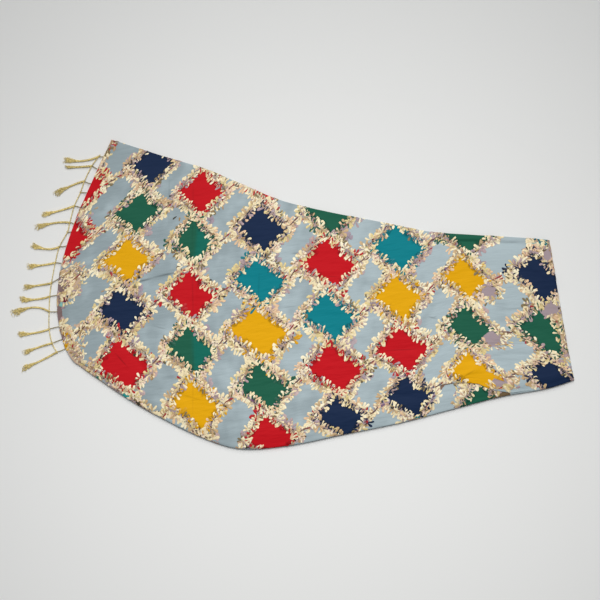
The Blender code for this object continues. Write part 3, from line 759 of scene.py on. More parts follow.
# Woven patches that lie outside the lattice, by place, half sizes, turn, colour and leaves: none,
# a ring of them, filled with them, or filled over a lozenge's colour as well.
Patch = namedtuple("Patch", "x y half_x half_y degrees hex leaves")
LILAC = "#9C8C90"
# Lilac-brown, darker than the lilac: partly the weave's colour, partly painted shade on the curled
# edge.
LILAC_BROWN_AND_SHADE = "#7C6664"
LEAFY = "#B9A08A"
PATCHES = (
    Patch(469, 75, 12, 14, 0, LILAC, "ring"),
    Patch(474, -25, 20, 15, 10, LILAC, "ring"),
    Patch(360, 8, 17, 15, 0, LILAC, "ring"),
    Patch(368, -80, 21, 14, 15, LILAC, "ring"),
    Patch(383, -160, 18, 11, 10, LILAC, "ring"),
    Patch(321, -205, 16, 7, 0, LILAC, "ring"),
    Patch(441, 96, 11, 5, -6, "#8FA9A2", "none"),
    Patch(284, -168, 14, 8, 20, "#7C6253", "none"),
    Patch(388, -218, 20, 6, 12, "#6E5A40", "none"),
    # Along the fringed end, where the edge curls down, the lilac-brown weave is painted darker as the
    # shade on the curl.
    Patch(-428, 14, 9, 16, 0, LILAC_BROWN_AND_SHADE, "none"),
    Patch(-433, -42, 7, 38, 3, LILAC_BROWN_AND_SHADE, "none"),
    Patch(-427, -76, 6, 18, 18, LILAC_BROWN_AND_SHADE, "none"),
    Patch(-332, 282, 7, 4, -20, "#7C2A34", "none"),
    Patch(-413, -74, 6, 20, 8, "#D3A240", "none"),
    Patch(-431, -17, 4.5, 6, 0, "#7FB5AC", "none"),
    Patch(-422, -8, 7, 4.5, -20, "#6E1A2C", "none"),
    Patch(-410, 24, 18, 28, 10, LEAFY, "fill"),
    Patch(-378, -56, 25, 7, 4, LEAFY, "fill"),
    Patch(-402, -112, 13, 22, 20, LEAFY, "fill"),
    Patch(-381, -141, 22, 8, -38, LEAFY, "fill"),
    Patch(-350, -168, 22, 6, -35, LEAFY, "fill"),
    Patch(-352, 262, 9, 20, -12, LEAFY, "fill"),
    Patch(480, 78, 8, 22, 8, LEAFY, "over"),
    Patch(497, -72, 5, 40, 14, LEAFY, "over"),
    Patch(-362, -148, 8, 5, -35, "#1F6B57", "none"),
    Patch(-308, -184, 10, 6, -25, "#2F8C86", "none"),
)
# A patch's colour fades out this many mm to each side of its edge, and no leaf lies where a plain
# patch covers more than this share.
PATCH_EDGE = 5.0
LEAFLESS = 0.8


def chart_colour(column, row):
    """The nearest lozenge's linear colour at each place in the lattice, and its size in alpha."""
    shades = {letter: linear(shade)[:3] for letter, shade in LOZENGE_SHADES.items()}
    table = np.array([[shades[letter] for letter in letters] for letters in COLOUR_LETTERS])
    nearest = np.round(column).astype(int), np.round(row).astype(int)
    i = np.clip(nearest[0] - FIRST_COLUMN, 0, table.shape[0] - 1)
    j = np.clip(nearest[1] - FIRST_ROW, 0, table.shape[1] - 1)
    colours = table[i, j]
    sizes = np.ones(len(column))
    for (at_column, at_row), size in SIZES.items():
        sizes[(nearest[0] == at_column) & (nearest[1] == at_row)] = size
    # Painted light: the lit side of the crease is painted a lighter teal.
    teal = np.array(linear(PAINTED_LIGHT_TEAL)[:3])
    for lit_lozenge in PAINTED_LIGHT_LOZENGES:
        here = (nearest[0] == lit_lozenge[0]) & (nearest[1] == lit_lozenge[1])
        side = soft_step(0.0, 0.08, column - lit_lozenge[0])
        share = (PAINTED_LIGHT_SHARE * side * here)[:, None]
        colours = colours * (1 - share) + teal * share
    return np.column_stack([colours, sizes / LARGEST_SIZE])


def patch_colours(points):
    """Each point's patch colour, and in its alpha how far inside the patch it lies."""
    colours = np.zeros((len(points), 4))
    for patch in PATCHES:
        turn = math.radians(patch.degrees)
        off = points / MM - np.array([patch.x, patch.y])
        across = (off[:, 0] * math.cos(turn) + off[:, 1] * math.sin(turn)) / patch.half_x
        up = (off[:, 1] * math.cos(turn) - off[:, 0] * math.sin(turn)) / patch.half_y
        size = min(patch.half_x, patch.half_y)
        inside = np.clip((1 - np.hypot(across, up)) * size / PATCH_EDGE * 0.5 + 0.5, 0, 1)
        more = inside > colours[:, 3]
        colours[more, :3] = linear(patch.hex)[:3]
        colours[:, 3] = np.maximum(colours[:, 3], inside)
    colours[colours[:, 3] == 0, :3] = linear(LILAC)[:3]
    return colours


LEAFY_LINEAR = linear(LEAFY)[:3]


def leafless(place):
    """Whether a place lies in a plain patch, which no leaf covers."""
    *shade, inside = patch_colours(place)[0]
    return inside > LEAFLESS and not np.allclose(shade, LEAFY_LINEAR)


def sheet_mesh(name, sheet, bottom=None):
    """A mesh of the sheet with its weave map, its lozenge colours, its patches and its flat places."""
    mesh = bpy.data.meshes.new(name)
    faces = sheet.faces.tolist()
    if bottom is not None:
        faces.append(bottom.tolist())
    mesh.from_pydata(sheet.spots.tolist(), [], faces)
    mesh.update()
    column, row = lattice_of(sheet.unrolled)
    weave = np.stack([column * PITCH_ALONG, -row * PITCH_ACROSS], -1)
    corners = np.empty(len(mesh.loops), np.int32)
    mesh.loops.foreach_get("vertex_index", corners)
    weave_map = mesh.uv_layers.new(name="weave")
    weave_map.uv.foreach_set("vector", weave[corners].astype(np.float32).ravel())
    add_colours(mesh, "lozenge_colour", chart_colour(column, row))
    add_colours(mesh, "patch_colour", patch_colours(sheet.unrolled))
    flat = mesh.attributes.new("unrolled", "FLOAT_VECTOR", "POINT")
    flat_spots = np.column_stack([sheet.unrolled, np.zeros(len(sheet.unrolled))])
    flat.data.foreach_set("vector", flat_spots.astype(np.float32).ravel())
    mesh.shade_smooth()
    return mesh


def add_colours(mesh, name, colours):
    """Stores a linear colour at each of a mesh's points."""
    attribute = mesh.color_attributes.new(name, "FLOAT_COLOR", "POINT")
    attribute.data.foreach_set("color", np.asarray(colours, np.float32).ravel())


def placed(mesh, material):
    """The mesh as an object of its material at the origin."""
    piece = bpy.data.objects.new(mesh.name, mesh)
    bpy.context.scene.collection.objects.link(piece)
    mesh.materials.append(material)
    return piece


def belongs(piece, slot, *nodes):
    """The piece moves with the stole and stands for those solids; its slot is not used."""
    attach(piece, "root")
    if nodes:
        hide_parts(*nodes)


def with_wall(piece, thickness):
    """Gives a sheet its thickness, inwards from its face."""
    wall = piece.modifiers.new("cloth_wall", "SOLIDIFY")
    wall.thickness = thickness
    wall.offset = -1
    wall.use_even_offset = False


def joined(first, second):
    """Two sheets as one."""
    shifted = second.faces + len(first.spots)
    return Sheet(
        np.vstack([first.spots, second.spots]),
        np.vstack([first.unrolled, second.unrolled]),
        np.vstack([first.faces, shifted]),
    )


# --- Brocade leaves ------------------------------------------------------------------------------

# A leaflet, from its base to its tip: along its length, half its width and its rise, as shares.
LeafPoint = namedtuple("LeafPoint", "along across rise")
LEAFLET = (
    LeafPoint(0.0, 0.0, 0.0),
    LeafPoint(0.30, -0.6, 0.0),
    LeafPoint(0.32, 0.0, 0.8),
    LeafPoint(0.30, 0.6, 0.0),
    LeafPoint(0.80, -1.0, 0.0),
    LeafPoint(0.76, 0.0, 1.0),
    LeafPoint(0.80, 1.0, 0.0),
    LeafPoint(1.0, -0.55, 0.1),
    LeafPoint(1.0, 0.55, 0.1),
)
LEAFLET_FACES = ((0, 2, 1), (0, 3, 2), (1, 2, 5, 4), (2, 3, 6, 5), (4, 5, 7), (5, 8, 7), (5, 6, 8))
# How light each of its points is: it darkens towards its base and its flanks, painted shade where
# leaflets meet and overlap, and its raised middle is painted lighter.
LEAFLET_PAINTED_SHADE = (0.58, 0.74, 0.94, 0.74, 0.96, 1.02, 0.96, 1.02, 1.02)
# No leaf reaches this far off the cloth, is stretched or shrunk past these shares by a fold, or is
# laid where the cloth has turned further under than this.
ON_CLOTH = 0.01 * MM
LEAF_STRETCH = (0.45, 1.6)
LEAF_TURNS_UNDER = -0.5
# No lozenge whose centre lies further off the cloth than this has a leaf on it.
LOZENGE_REACH = 75 * MM

# Weights and colours of the floats: cream at the sprays' tips and tan, peach and olive in the mass.
TIP_SHADES = (
    (38, "#F3E1B6"),
    (20, "#FAEECB"),
    (12, "#DFCA8E"),
    (10, "#E7C39C"),
    (10, "#CAAB80"),
    (8, "#B0989A"),
    (4, "#80704E"),
)
MASS_SHADES = (
    (22, "#C6AA80"),
    (16, "#C4A188"),
    (14, "#B3936E"),
    (8, "#C6B47C"),
    (18, "#DCC9A4"),
    (8, "#A58459"),
    (13, "#A48F94"),
    (5, "#6E5E40"),
    (5, "#3C3424"),
    (2.5, "#A8282E"),
    (1.5, "#7A5A78"),
)
# Rings of leaf sprays round a lozenge: how far their roots lie outside its edge, how far apart they
# are, where they point (1 outwards, -1 inwards), how much that strays, the leaflets' mean length,
# their half width as a share of it, how many make a spray, how they fan out and their shades.
LeafRing = namedtuple("LeafRing", "distance spacing outward stray length width leaflets fan shades")
LEAF_RINGS = (
    LeafRing(8.5, 3.6, 1, 120, 9.0, 0.26, 1, 0, MASS_SHADES),
    LeafRing(5.5, 7.8, -1, 30, 11.5, 0.2, 2, 50, TIP_SHADES),
    LeafRing(9.5, 8.2, 1, 36, 11.5, 0.19, 3, 48, TIP_SHADES),
)
# The lozenge's own colour runs out between the leaves in spikes, rooted this far outside its edge.
SPIKE_ROOT = -2.0
SPIKE_SPACING = 7.5
# No other leaf is rooted in a lozenge, or reaches further into one than this.
LEAF_BITE = 6.5
# Leaves where a lozenge meets the next in its column, and small flowers among the leaves.
KNOT_LEAVES = 10
FLOWERS = 4
FLOWER_PETALS = 5
# Lilac petals lie where a sprig meets a lozenge, and dark seeds among the leaves.
BLOTCHES = ((53, -24), (-48, 2), (30, 34))
BLOTCH_PETALS = 6
PALE_PETALS = ("#A8979E", "#B3A1A4", "#BFA6A2", "#A08F9A")
SEEDS = 12
SEED_SHADES = ("#3A3222", "#4A3A2C", "#5A2A36", "#33402E", "#8C2A30")
# The sprig from a lozenge's right tip to its neighbour's left one.
SPRIG_START = (50, -12)
SPRIG_END = (82, 8)
SPRIG_LEAVES = 40
SPRIG_SAG = 4.0
# The sprigs that sag more than the rest, by the lozenge they start from.
SAGGING_SPRIGS = {(1, 1): 12.0, (1, 2): 13.0, (1, 4): 10.0, (1, 3): 0.0, (3, 3): 0.0, (0, 1): 8.0}
SPRIG_SCATTER = 2.2
STEM_SHADES = ("#6B4A4C", "#5A3844", "#8C2C34", "#7A5A52", "#A03038")
PETAL_SHADES = ("#EBCFB8", "#F1DFC4", "#E5C3A6")
HEART_SHADES = ("#7A2230", "#3C3A2C", "#B0262B", "#5B4A3C")
# The share of sprays in the lozenge's own colour.
OWN_COLOUR_SHARE = 0.05
# The square mm that a leaf has in a filled patch, and how leaves ring a patch.
LEAFY_ROOM = 16.0
PATCH_LEAF_SPACING = 2.9
PATCH_LEAF_REACH = 1.5


def pick(draw, shades):
    """A colour drawn from (weight, hex) rows."""
    place = draw.uniform(0, sum(weight for weight, shade in shades))
    for weight, shade in shades:
        place -= weight
        if place <= 0:
            break
    return shade


def lozenge_ring(distance, spacing):
    """Places and outward directions along a line that far outside a lozenge's edge, in mm."""
    turn = np.radians(np.linspace(-180, 180, 721))
    radius = np.interp(np.degrees(turn), EDGE_TURNS, EDGE_RADII)
    line = np.stack([np.cos(turn), np.sin(turn)], -1) * radius[:, None]
    run = np.gradient(line, axis=0)
    normal = np.stack([run[:, 1], -run[:, 0]], -1)
    normal /= np.linalg.norm(normal, axis=1)[:, None]
    normal = smoothed_round(normal[:-1], 24, 12)
    normal /= np.linalg.norm(normal, axis=1)[:, None]
    line = line[:-1] + normal * distance
    step = np.linalg.norm(np.diff(line, axis=0, append=line[:1]), axis=1)
    travelled = np.concatenate([[0], np.cumsum(step)[:-1]])
    wanted = np.arange(0, travelled[-1], spacing)
    x, y, nx, ny = (np.interp(wanted, travelled, v) for v in (*line.T, *normal.T))
    return list(zip(x, y, np.degrees(np.arctan2(ny, nx))))


def depth_in_lozenges(x, y, size, rows):
    """How far a place, in mm from a lozenge's centre, lies inside the ones on these rows from it."""
    depths = []
    for row in rows:
        scale = 1.0 if row else size
        off = y + row * PITCH_ACROSS / MM
        edge = np.interp(math.degrees(math.atan2(off, x)), EDGE_TURNS, EDGE_RADII)
        depths.append(edge * scale - math.hypot(x, off))
    return max(depths)


def keeps_clear(leaf, size, rows=(-1, 0, 1)):
    """Whether a leaflet leaves the lozenges' colour free."""
    turn = math.radians(leaf.degrees)
    tip_x, tip_y = leaf.x + leaf.length * math.cos(turn), leaf.y + leaf.length * math.sin(turn)
    rooted = depth_in_lozenges(leaf.x, leaf.y, size, rows) < 1.0
    return rooted and depth_in_lozenges(tip_x, tip_y, size, rows) < LEAF_BITE


# A leaflet: its base, heading, length, half width, bend, colour and how high it lies in the weave.
Leaf = namedtuple("Leaf", "x y degrees length width bend hex lift")


def lozenge_leaves(draw, rings, spikes, size, sag, own_shade):
    """The leaflets round one lozenge, in mm from its centre."""
    leaves = []
    for ring, places in rings:
        for x, y, outward in places:
            x = x * size + draw.gauss(0, 1.5)
            y = y * size + draw.gauss(0, 1.5)
            heading = outward + (0 if ring.outward > 0 else 180) + draw.gauss(0, ring.stray * 0.6)
            curl = draw.choice((-1, 1)) * draw.uniform(0.1, 0.5)
            reach = draw.uniform(0.8, 1.2)
            shade = own_shade if draw.random() < OWN_COLOUR_SHARE else pick(draw, ring.shades)
            for k in range(ring.leaflets):
                fan = (k - (ring.leaflets - 1) / 2) * ring.fan + draw.gauss(0, 9)
                length = ring.length * reach * draw.uniform(0.75, 1.2)
                width = length * ring.width * draw.uniform(0.8, 1.2)
                height = draw.random() + (0.4 if ring.shades is TIP_SHADES else 0)
                leaves.append(Leaf(x, y, heading + fan, length, width, curl, shade, height))
    for x, y, outward in spikes:
        x, y = x * size + draw.gauss(0, 1.0), y * size + draw.gauss(0, 1.0)
        length = draw.uniform(6, 10)
        turn = outward + draw.gauss(0, 22)
        leaves.append(Leaf(x, y, turn, length, length * 0.19, 0.2, own_shade, 1.5))
    for k in range(KNOT_LEAVES):
        x, y = draw.gauss(2, 15), PITCH_ACROSS / MM / 2 + draw.gauss(0, 4)
        length = draw.uniform(6, 10)
        shade = pick(draw, MASS_SHADES)
        turn = draw.uniform(0, 360)
        leaves.append(Leaf(x, y, turn, length, length * 0.22, 0.3, shade, draw.random()))
    leaves += sprig_leaves(draw, min(size, 1.0), sag)
    for x, y in BLOTCHES:
        x, y = x * size + draw.gauss(0, 3), y * size + draw.gauss(0, 3)
        shade = draw.choice(PALE_PETALS)
        for k in range(BLOTCH_PETALS):
            turn = draw.uniform(0, 360)
            leaves.append(Leaf(x, y, turn, draw.uniform(7, 11), 4.2, 0.2, shade, 0.1))
    for k in range(SEEDS):
        x, y, outward = draw.choice(rings[0][1])
        x, y = x * size + draw.gauss(0, 2), y * size + draw.gauss(0, 2)
        shade = draw.choice(SEED_SHADES)
        turn = draw.uniform(0, 360)
        leaves.append(Leaf(x, y, turn, draw.uniform(3.0, 5.0), 1.3, 0.2, shade, 1.25))
    for k in range(FLOWERS):
        x, y, outward = draw.choice(rings[0][1])
        leaves += flower_leaves(draw, x * size * 1.05, y * size * 1.05)
    # Leaflets of the lozenge's own colour may lie over it, so only the next ones matter to them.
    rows = {own_shade: (-1, 1)}
    return [leaf for leaf in leaves if keeps_clear(leaf, size, rows.get(leaf.hex, (-1, 0, 1)))]


def sprig_leaves(draw, size, sag):
    """The leaflets and stem of the sprig that joins a lozenge's right tip to its neighbour."""
    start, end = np.array(SPRIG_START) * size, np.array(SPRIG_END)
    run = end - start
    slope = math.degrees(math.atan2(run[1], run[0]))
    leaves = []
    for k in range(SPRIG_LEAVES):
        share = k / (SPRIG_LEAVES - 1)
        x, y = start + run * share
        side = 1 if k % 2 else -1
        heading = slope + side * draw.uniform(30, 75) + (180 if draw.random() < 0.4 else 0)
        length = draw.uniform(8, 11)
        shade = pick(draw, TIP_SHADES if draw.random() < 0.7 else MASS_SHADES)
        y += draw.gauss(0, SPRIG_SCATTER) - sag * math.sin(math.pi * share**1.4)
        leaves.append(Leaf(x, y, heading, length, length * 0.21, side * 0.3, shade, draw.random()))
    for shade, share, length in (
        (draw.choice(STEM_SHADES), 0.15, draw.uniform(13, 19)),
        (draw.choice(STEM_SHADES), 0.45, draw.uniform(7, 11)),
    ):
        x, y = start + run * share
        y += draw.gauss(0, 1.5) - sag * math.sin(math.pi * share**1.4)
        heading = slope + draw.gauss(-8, 9)
        leaves.append(Leaf(x, y, heading, length, 1.5, draw.choice((-0.3, 0.3)), shade, 1.9))
    return leaves


def flower_leaves(draw, x, y):
    """A small rosette: five round petals and a dark heart."""
    apart = 360 / FLOWER_PETALS
    turn = draw.uniform(0, apart)
    shade = draw.choice(PETAL_SHADES)
    leaves = []
    for k in range(FLOWER_PETALS):
        leaves.append(Leaf(x, y, turn + apart * k, draw.uniform(5.5, 7.5), 2.2, 0, shade, 1.1))
    heart = draw.choice(HEART_SHADES)
    leaves.append(Leaf(x - 1.2, y, turn, 2.6, 1.1, 0, heart, 1.4))
    return leaves


class ClothTable:
    """Finds where a flat place of the woven cloth lies on the folded stole."""

    def __init__(self, mesh):
        flat = np.empty(len(mesh.vertices) * 3, np.float32)
        mesh.attributes["unrolled"].data.foreach_get("vector", flat)
        folded = np.empty(len(mesh.vertices) * 3, np.float32)
        mesh.vertices.foreach_get("co", folded)
        self.flat = [Vector(place) for place in flat.reshape(-1, 3).tolist()]
        self.folded = [Vector(place) for place in folded.reshape(-1, 3).tolist()]
        self.triangles = []
        for polygon in mesh.polygons:
            a, b, c, d = polygon.vertices
            self.triangles += [(a, b, c), (a, c, d)]
        self.tree = BVHTree.FromPolygons(self.flat, self.triangles)

    def find(self, x, y):
        """The folded place and its normal, and how far the flat place lies off the cloth."""
        spot = Vector((x, y, 0))
        location, normal, index, distance = self.tree.find_nearest(spot)
        corners = self.triangles[index]
        a, b, c = (self.flat[k] for k in corners)
        fa, fb, fc = (self.folded[k] for k in corners)
        place = barycentric_transform(location, a, b, c, fa, fb, fc)
        facing = (fb - fa).cross(fc - fa)
        return place, facing, distance


def leaf_places(leaf, column, row):
    """The flat plan places of a leaflet's points."""
    turn = math.radians(leaf.degrees)
    run = np.array([math.cos(turn), math.sin(turn)])
    side = np.array([-run[1], run[0]])
    shape = np.array(LEAFLET)
    swing = leaf.bend * shape[:, 0] ** 2 * leaf.length * 0.5
    local = np.array([leaf.x, leaf.y]) + np.outer(shape[:, 0] * leaf.length, run)
    local = local + np.outer(shape[:, 1] * leaf.width + swing, side)
    along, down = local[:, 0] * MM / PITCH_ALONG, local[:, 1] * MM / PITCH_ACROSS
    return lattice_place(column + along, row - down)


def brocade_leaves(table, lift, ridge):
    """Every leaflet of the jaal, laid on the folded cloth."""
    rings = [(ring, lozenge_ring(ring.distance, ring.spacing)) for ring in LEAF_RINGS]
    spikes = lozenge_ring(SPIKE_ROOT, SPIKE_SPACING)
    spots, faces, colours = [], [], []
    for i, letters in enumerate(COLOUR_LETTERS):
        for j, letter in enumerate(letters):
            column, row = FIRST_COLUMN + i, FIRST_ROW + j
            draw = random.Random(100 * i + j)
            centre = lattice_place(column, row)
            if table.find(*centre)[2] > LOZENGE_REACH:
                continue
            size = SIZES.get((column, row), 1.0)
            sag = SAGGING_SPRIGS.get((column, row), SPRIG_SAG)
            for leaf in lozenge_leaves(draw, rings, spikes, size, sag, LOZENGE_SHADES[letter]):
                add_leaf(table, leaf, column, row, lift, ridge, spots, faces, colours)
    for k, patch in enumerate(PATCHES):
        if patch.leaves == "none":
            continue
        column, row = lattice_of(np.array([patch.x, patch.y]) * MM)
        to_lozenge = column - np.round(column), row - np.round(row)
        for leaf in patch_leaves(random.Random(k), patch):
            x = leaf.x + to_lozenge[0] * PITCH_ALONG / MM
            y = leaf.y - to_lozenge[1] * PITCH_ACROSS / MM
            if patch.leaves != "over" and not keeps_clear(leaf._replace(x=x, y=y), 1.0):
                continue
            add_leaf(table, leaf, column, row, lift, ridge, spots, faces, colours)
    return spots, faces, colours


def patch_leaves(draw, patch):
    """The leaflets that ring a woven patch, in mm from its middle."""
    around = 2 * math.pi * math.sqrt(patch.half_x * patch.half_y)
    count = round(around / PATCH_LEAF_SPACING)
    leaves = []
    for k in range(count * 2):
        turn = 2 * math.pi * (k / 2 + draw.uniform(-0.3, 0.3)) / count
        inward = k % 2
        reach = PATCH_LEAF_REACH + draw.gauss(0, 1.5) + 2 * (1 - inward)
        x = (patch.half_x + reach) * math.cos(turn)
        y = (patch.half_y + reach) * math.sin(turn)
        heading = math.degrees(turn) + 180 * inward + draw.gauss(0, 65)
        length = draw.uniform(7, 10)
        shade = pick(draw, TIP_SHADES if inward == 0 else MASS_SHADES)
        leaves.append(Leaf(x, y, heading, length, length * 0.2, 0.4, shade, draw.random()))
    if patch.leaves != "ring":
        for k in range(round(math.pi * patch.half_x * patch.half_y / LEAFY_ROOM)):
            x, y = draw.gauss(0, patch.half_x * 0.5), draw.gauss(0, patch.half_y * 0.5)
            length = draw.uniform(7, 10)
            shade = pick(draw, TIP_SHADES if k % 2 else MASS_SHADES)
            turn = draw.uniform(0, 360)
            leaves.append(Leaf(x, y, turn, length, length * 0.2, 0.4, shade, draw.random()))
    return leaves


def add_leaf(table, leaf, column, row, lift, ridge, spots, faces, colours):
    """Lays a leaflet on the cloth, unless it would hang off it, or lie under it or on a plain patch."""
    places = leaf_places(leaf, column, row)
    found = [table.find(x, y) for x, y in places]
    off = min(distance for place, facing, distance in found)
    stretch = (found[0][0] - found[-1][0]).length / (leaf.length * MM)
    bare = leafless(places.mean(0, keepdims=True))
    lowest = min(facing.normalized().z for place, facing, distance in found)
    shrunk, stretched = LEAF_STRETCH
    if bare or off > ON_CLOTH or not shrunk < stretch < stretched or lowest < LEAF_TURNS_UNDER:
        return
    start = len(spots)
    shade = np.array(linear(leaf.hex)[:3])
    # Each point's colour carries the leaflet's painted shade.
    for point, tone, (place, facing, distance) in zip(LEAFLET, LEAFLET_PAINTED_SHADE, found):
        rise = lift * (0.5 + 1.6 * leaf.lift) + ridge * point.rise
        spots.append(place + facing.normalized() * rise)
        colours.append((*np.minimum(shade * tone, 1.0), 1.0))
    faces.extend(tuple(start + v for v in face) for face in LEAFLET_FACES)


# --- Fringe --------------------------------------------------------------------------------------

# One row for each tassel from the back to the front: where its bar leaves the cloth's end, its knot
# on the running cord, a bend, its tip and how wide the tip spreads.
Tassel = namedtuple("Tassel", "root_y knot_x knot_y bend_x bend_y tip_x tip_y spread")
TASSELS = (
    Tassel(256.2, -359.5, 257.2, -391.9, 248.8, -422.4, 252.5, 3.4),
    Tassel(233.1, -372.5, 239.6, -398.4, 237.7, -420.6, 237.7, 1.6),
    Tassel(206.3, -386.2, 211.3, -409.5, 203.5, -442.2, 186.5, 4.0),
    Tassel(162.4, -404.7, 165.9, -434.3, 156.3, -464.1, 149.7, 2.8),
    Tassel(131.9, -413.2, 134.9, -442.8, 134.1, -476.8, 124.9, 3.4),
    Tassel(91.6, -432.3, 90.3, -455.7, 86.0, -483.1, 93.8, 3.0),
    Tassel(59.4, -440.0, 60.9, -463.1, 56.4, -490.9, 53.8, 3.2),
    Tassel(31.1, -447.1, 23.1, -472.4, 18.7, -498.3, 15.7, 3.2),
    Tassel(0.9, -450.2, -1.5, -476.1, -7.0, -505.1, -7.0, 3.6),
    Tassel(-29.8, -451.3, -29.8, -482.6, -22.0, -518.6, -35.3, 4.4),
    Tassel(-57.4, -451.3, -62.0, -479.8, -69.4, -507.9, -70.9, 3.2),
    Tassel(-80.5, -445.8, -87.9, -472.4, -96.0, -498.3, -106.4, 3.0),
    Tassel(-97.7, -437.2, -104.2, -468.7, -121.2, -502.0, -135.2, 3.2),
)
Bar = namedtuple("Bar", "root_y knot_x knot_y")
BARE_BARS = (Bar(189.6, -393.4, 190.7), Bar(117.5, -417.5, 117.5))
# The bars are painted darker, by this share, as painted shade for the shadow they lie in.
BAR_PAINTED_SHADE = 0.42
TASSEL_POINTS = 40
# The longest threads reach a little past a tassel's tip and the shortest stop before it.
TASSEL_STRETCH = 1.05
CORD_LEVEL = 3.4 * MM
BUNDLE_LEVEL = 2.25 * MM
ROOT_INSIDE = 2.5 * MM


def end_edge(y):
    """A place on the cloth's fringed end: its point, outward direction and height."""
    first = SECTIONS[0]
    across = (y / MM - first.front_y) / (first.back_y - first.front_y)
    points = plan(np.zeros(3), across + np.array([-0.002, 0, 0.002]))
    run = points[0] - points[2]
    outward = np.array([run[1], -run[0]]) / np.linalg.norm(run)
    height = pile_height(np.array(0.0), np.array(across), points[1])
    return points[1], outward, float(height)


def all_bars():
    """Every bar from the back to the front."""
    bars = [Bar(t.root_y, t.knot_x, t.knot_y) for t in TASSELS] + list(BARE_BARS)
    return sorted(bars, key=lambda bar: -bar.root_y)


def tube(path, radius, sides, spots, faces):
    """A thread along a path that lies about flat; radius is one for each point of the path."""
    path = np.asarray(path)
    run, sideways, up = across_path(path)
    turn = np.arange(sides) / sides * 2 * np.pi
    ring = sideways[:, None] * np.cos(turn)[:, None] + up[:, None] * np.sin(turn)[:, None]
    points = path[:, None] + ring * np.broadcast_to(radius, len(path))[:, None, None]
    start = len(spots)
    spots.extend(points.reshape(-1, 3).tolist())
    for k in range(len(path) - 1):
        for s in range(sides):
            a = start + k * sides + s
            b = start + k * sides + (s + 1) % sides
            faces.append((a, b, b + sides, a + sides))
    faces.append(tuple(start + s for s in range(sides))[::-1])
    faces.append(tuple(start + (len(path) - 1) * sides + s for s in range(sides)))
    return sides * len(path)


def across_path(path):
    """The directions sideways and up across a path."""
    run = np.gradient(path, axis=0)
    run /= np.linalg.norm(run, axis=1)[:, None]
    sideways = np.cross([0, 0, 1], run)
    sideways /= np.linalg.norm(sideways, axis=1)[:, None]
    return run, sideways, np.cross(run, sideways)


def travelled_along(path):
    """How far each point of a path lies from its start, along it."""
    step = np.linalg.norm(np.diff(path, axis=0), axis=1)
    return np.concatenate([[0], np.cumsum(step)])


def twisted_cord(path, radius, lay, plies, spots, faces, tones, draw):
    """A cord of plies laid round each other, one turn for each lay of length."""
    path = np.asarray(path)
    run, sideways, up = across_path(path)
    turn = travelled_along(path) / lay * 2 * np.pi
    for ply in range(plies):
        angle = turn + 2 * np.pi * ply / plies
        offset = sideways * np.cos(angle)[:, None] + up * np.sin(angle)[:, None]
        made = tube(path + offset * radius * 0.48, radius * 0.56, 6, spots, faces)
        tones.extend([draw.uniform(0.8, 1.15)] * made)


def curve_through(points, count):
    """That many points of a smooth curve through a few."""
    return through_rows(points, np.linspace(0, 1, count))


def tassel_path(tassel, count):
    """A tassel's middle line from its knot past its bend to its tip."""
    knot = np.array([tassel.knot_x, tassel.knot_y]) * MM
    bend = np.array([tassel.bend_x, tassel.bend_y]) * MM
    tip = np.array([tassel.tip_x, tassel.tip_y]) * MM
    tip = knot + (tip - knot) * TASSEL_STRETCH
    pull = 2 * bend - (knot + tip) / 2
    share = np.linspace(0, 1, count)[:, None]
    flat = knot * (1 - share) ** 2 + pull * 2 * share * (1 - share) + tip * share**2
    fall = soft_step(0.05, 0.45, share[:, 0])
    level = CORD_LEVEL + (BUNDLE_LEVEL - CORD_LEVEL) * fall
    return np.column_stack([flat, level])


def thread_mesh(name, spots, faces, tones):
    """A mesh of threads, each with a tone of its own."""
    mesh = bpy.data.meshes.new(name)
    mesh.from_pydata(spots, [], faces)
    mesh.update()
    tones = np.asarray(tones)
    add_colours(mesh, "thread_tone", np.column_stack([tones, tones, tones, np.ones(len(tones))]))
    mesh.shade_smooth()
    return mesh


# --- Materials -----------------------------------------------------------------------------------


def new_material(name):
    """A material of that name and its node tree."""
    material = bpy.data.materials.new(name)
    material.use_nodes = True
    return material, material.node_tree


def add_node(tree, kind, inputs=None, **settings):
    """Adds a node, sets its properties and its inputs, and links an input that is given a socket."""
    node = tree.nodes.new(kind)
    for key, value in settings.items():
        setattr(node, key, value)
    for key, value in (inputs or {}).items():
        if isinstance(value, bpy.types.NodeSocket):
            tree.links.new(value, node.inputs[key])
        else:
            node.inputs[key].default_value = value
    return node


# A wave texture's phase grows by this much for each unit at a scale of 1.
WAVE_PHASE = 20
# The finest wrinkles run nearly along the stole.
WRINKLE_TURN = math.radians(-5)
# The ground is darker towards the fringe, by this share a metre, and clouded by this much.
FRINGEWARD_DARKENING = 0.35
FRINGEWARD_START = 0.39
CLOUDING = 0.48
# How much darker the deepest hair crease is painted: painted shade in the colour, not a dent in the
# cloth.
PAINTED_CREASE_SHADE = 0.34
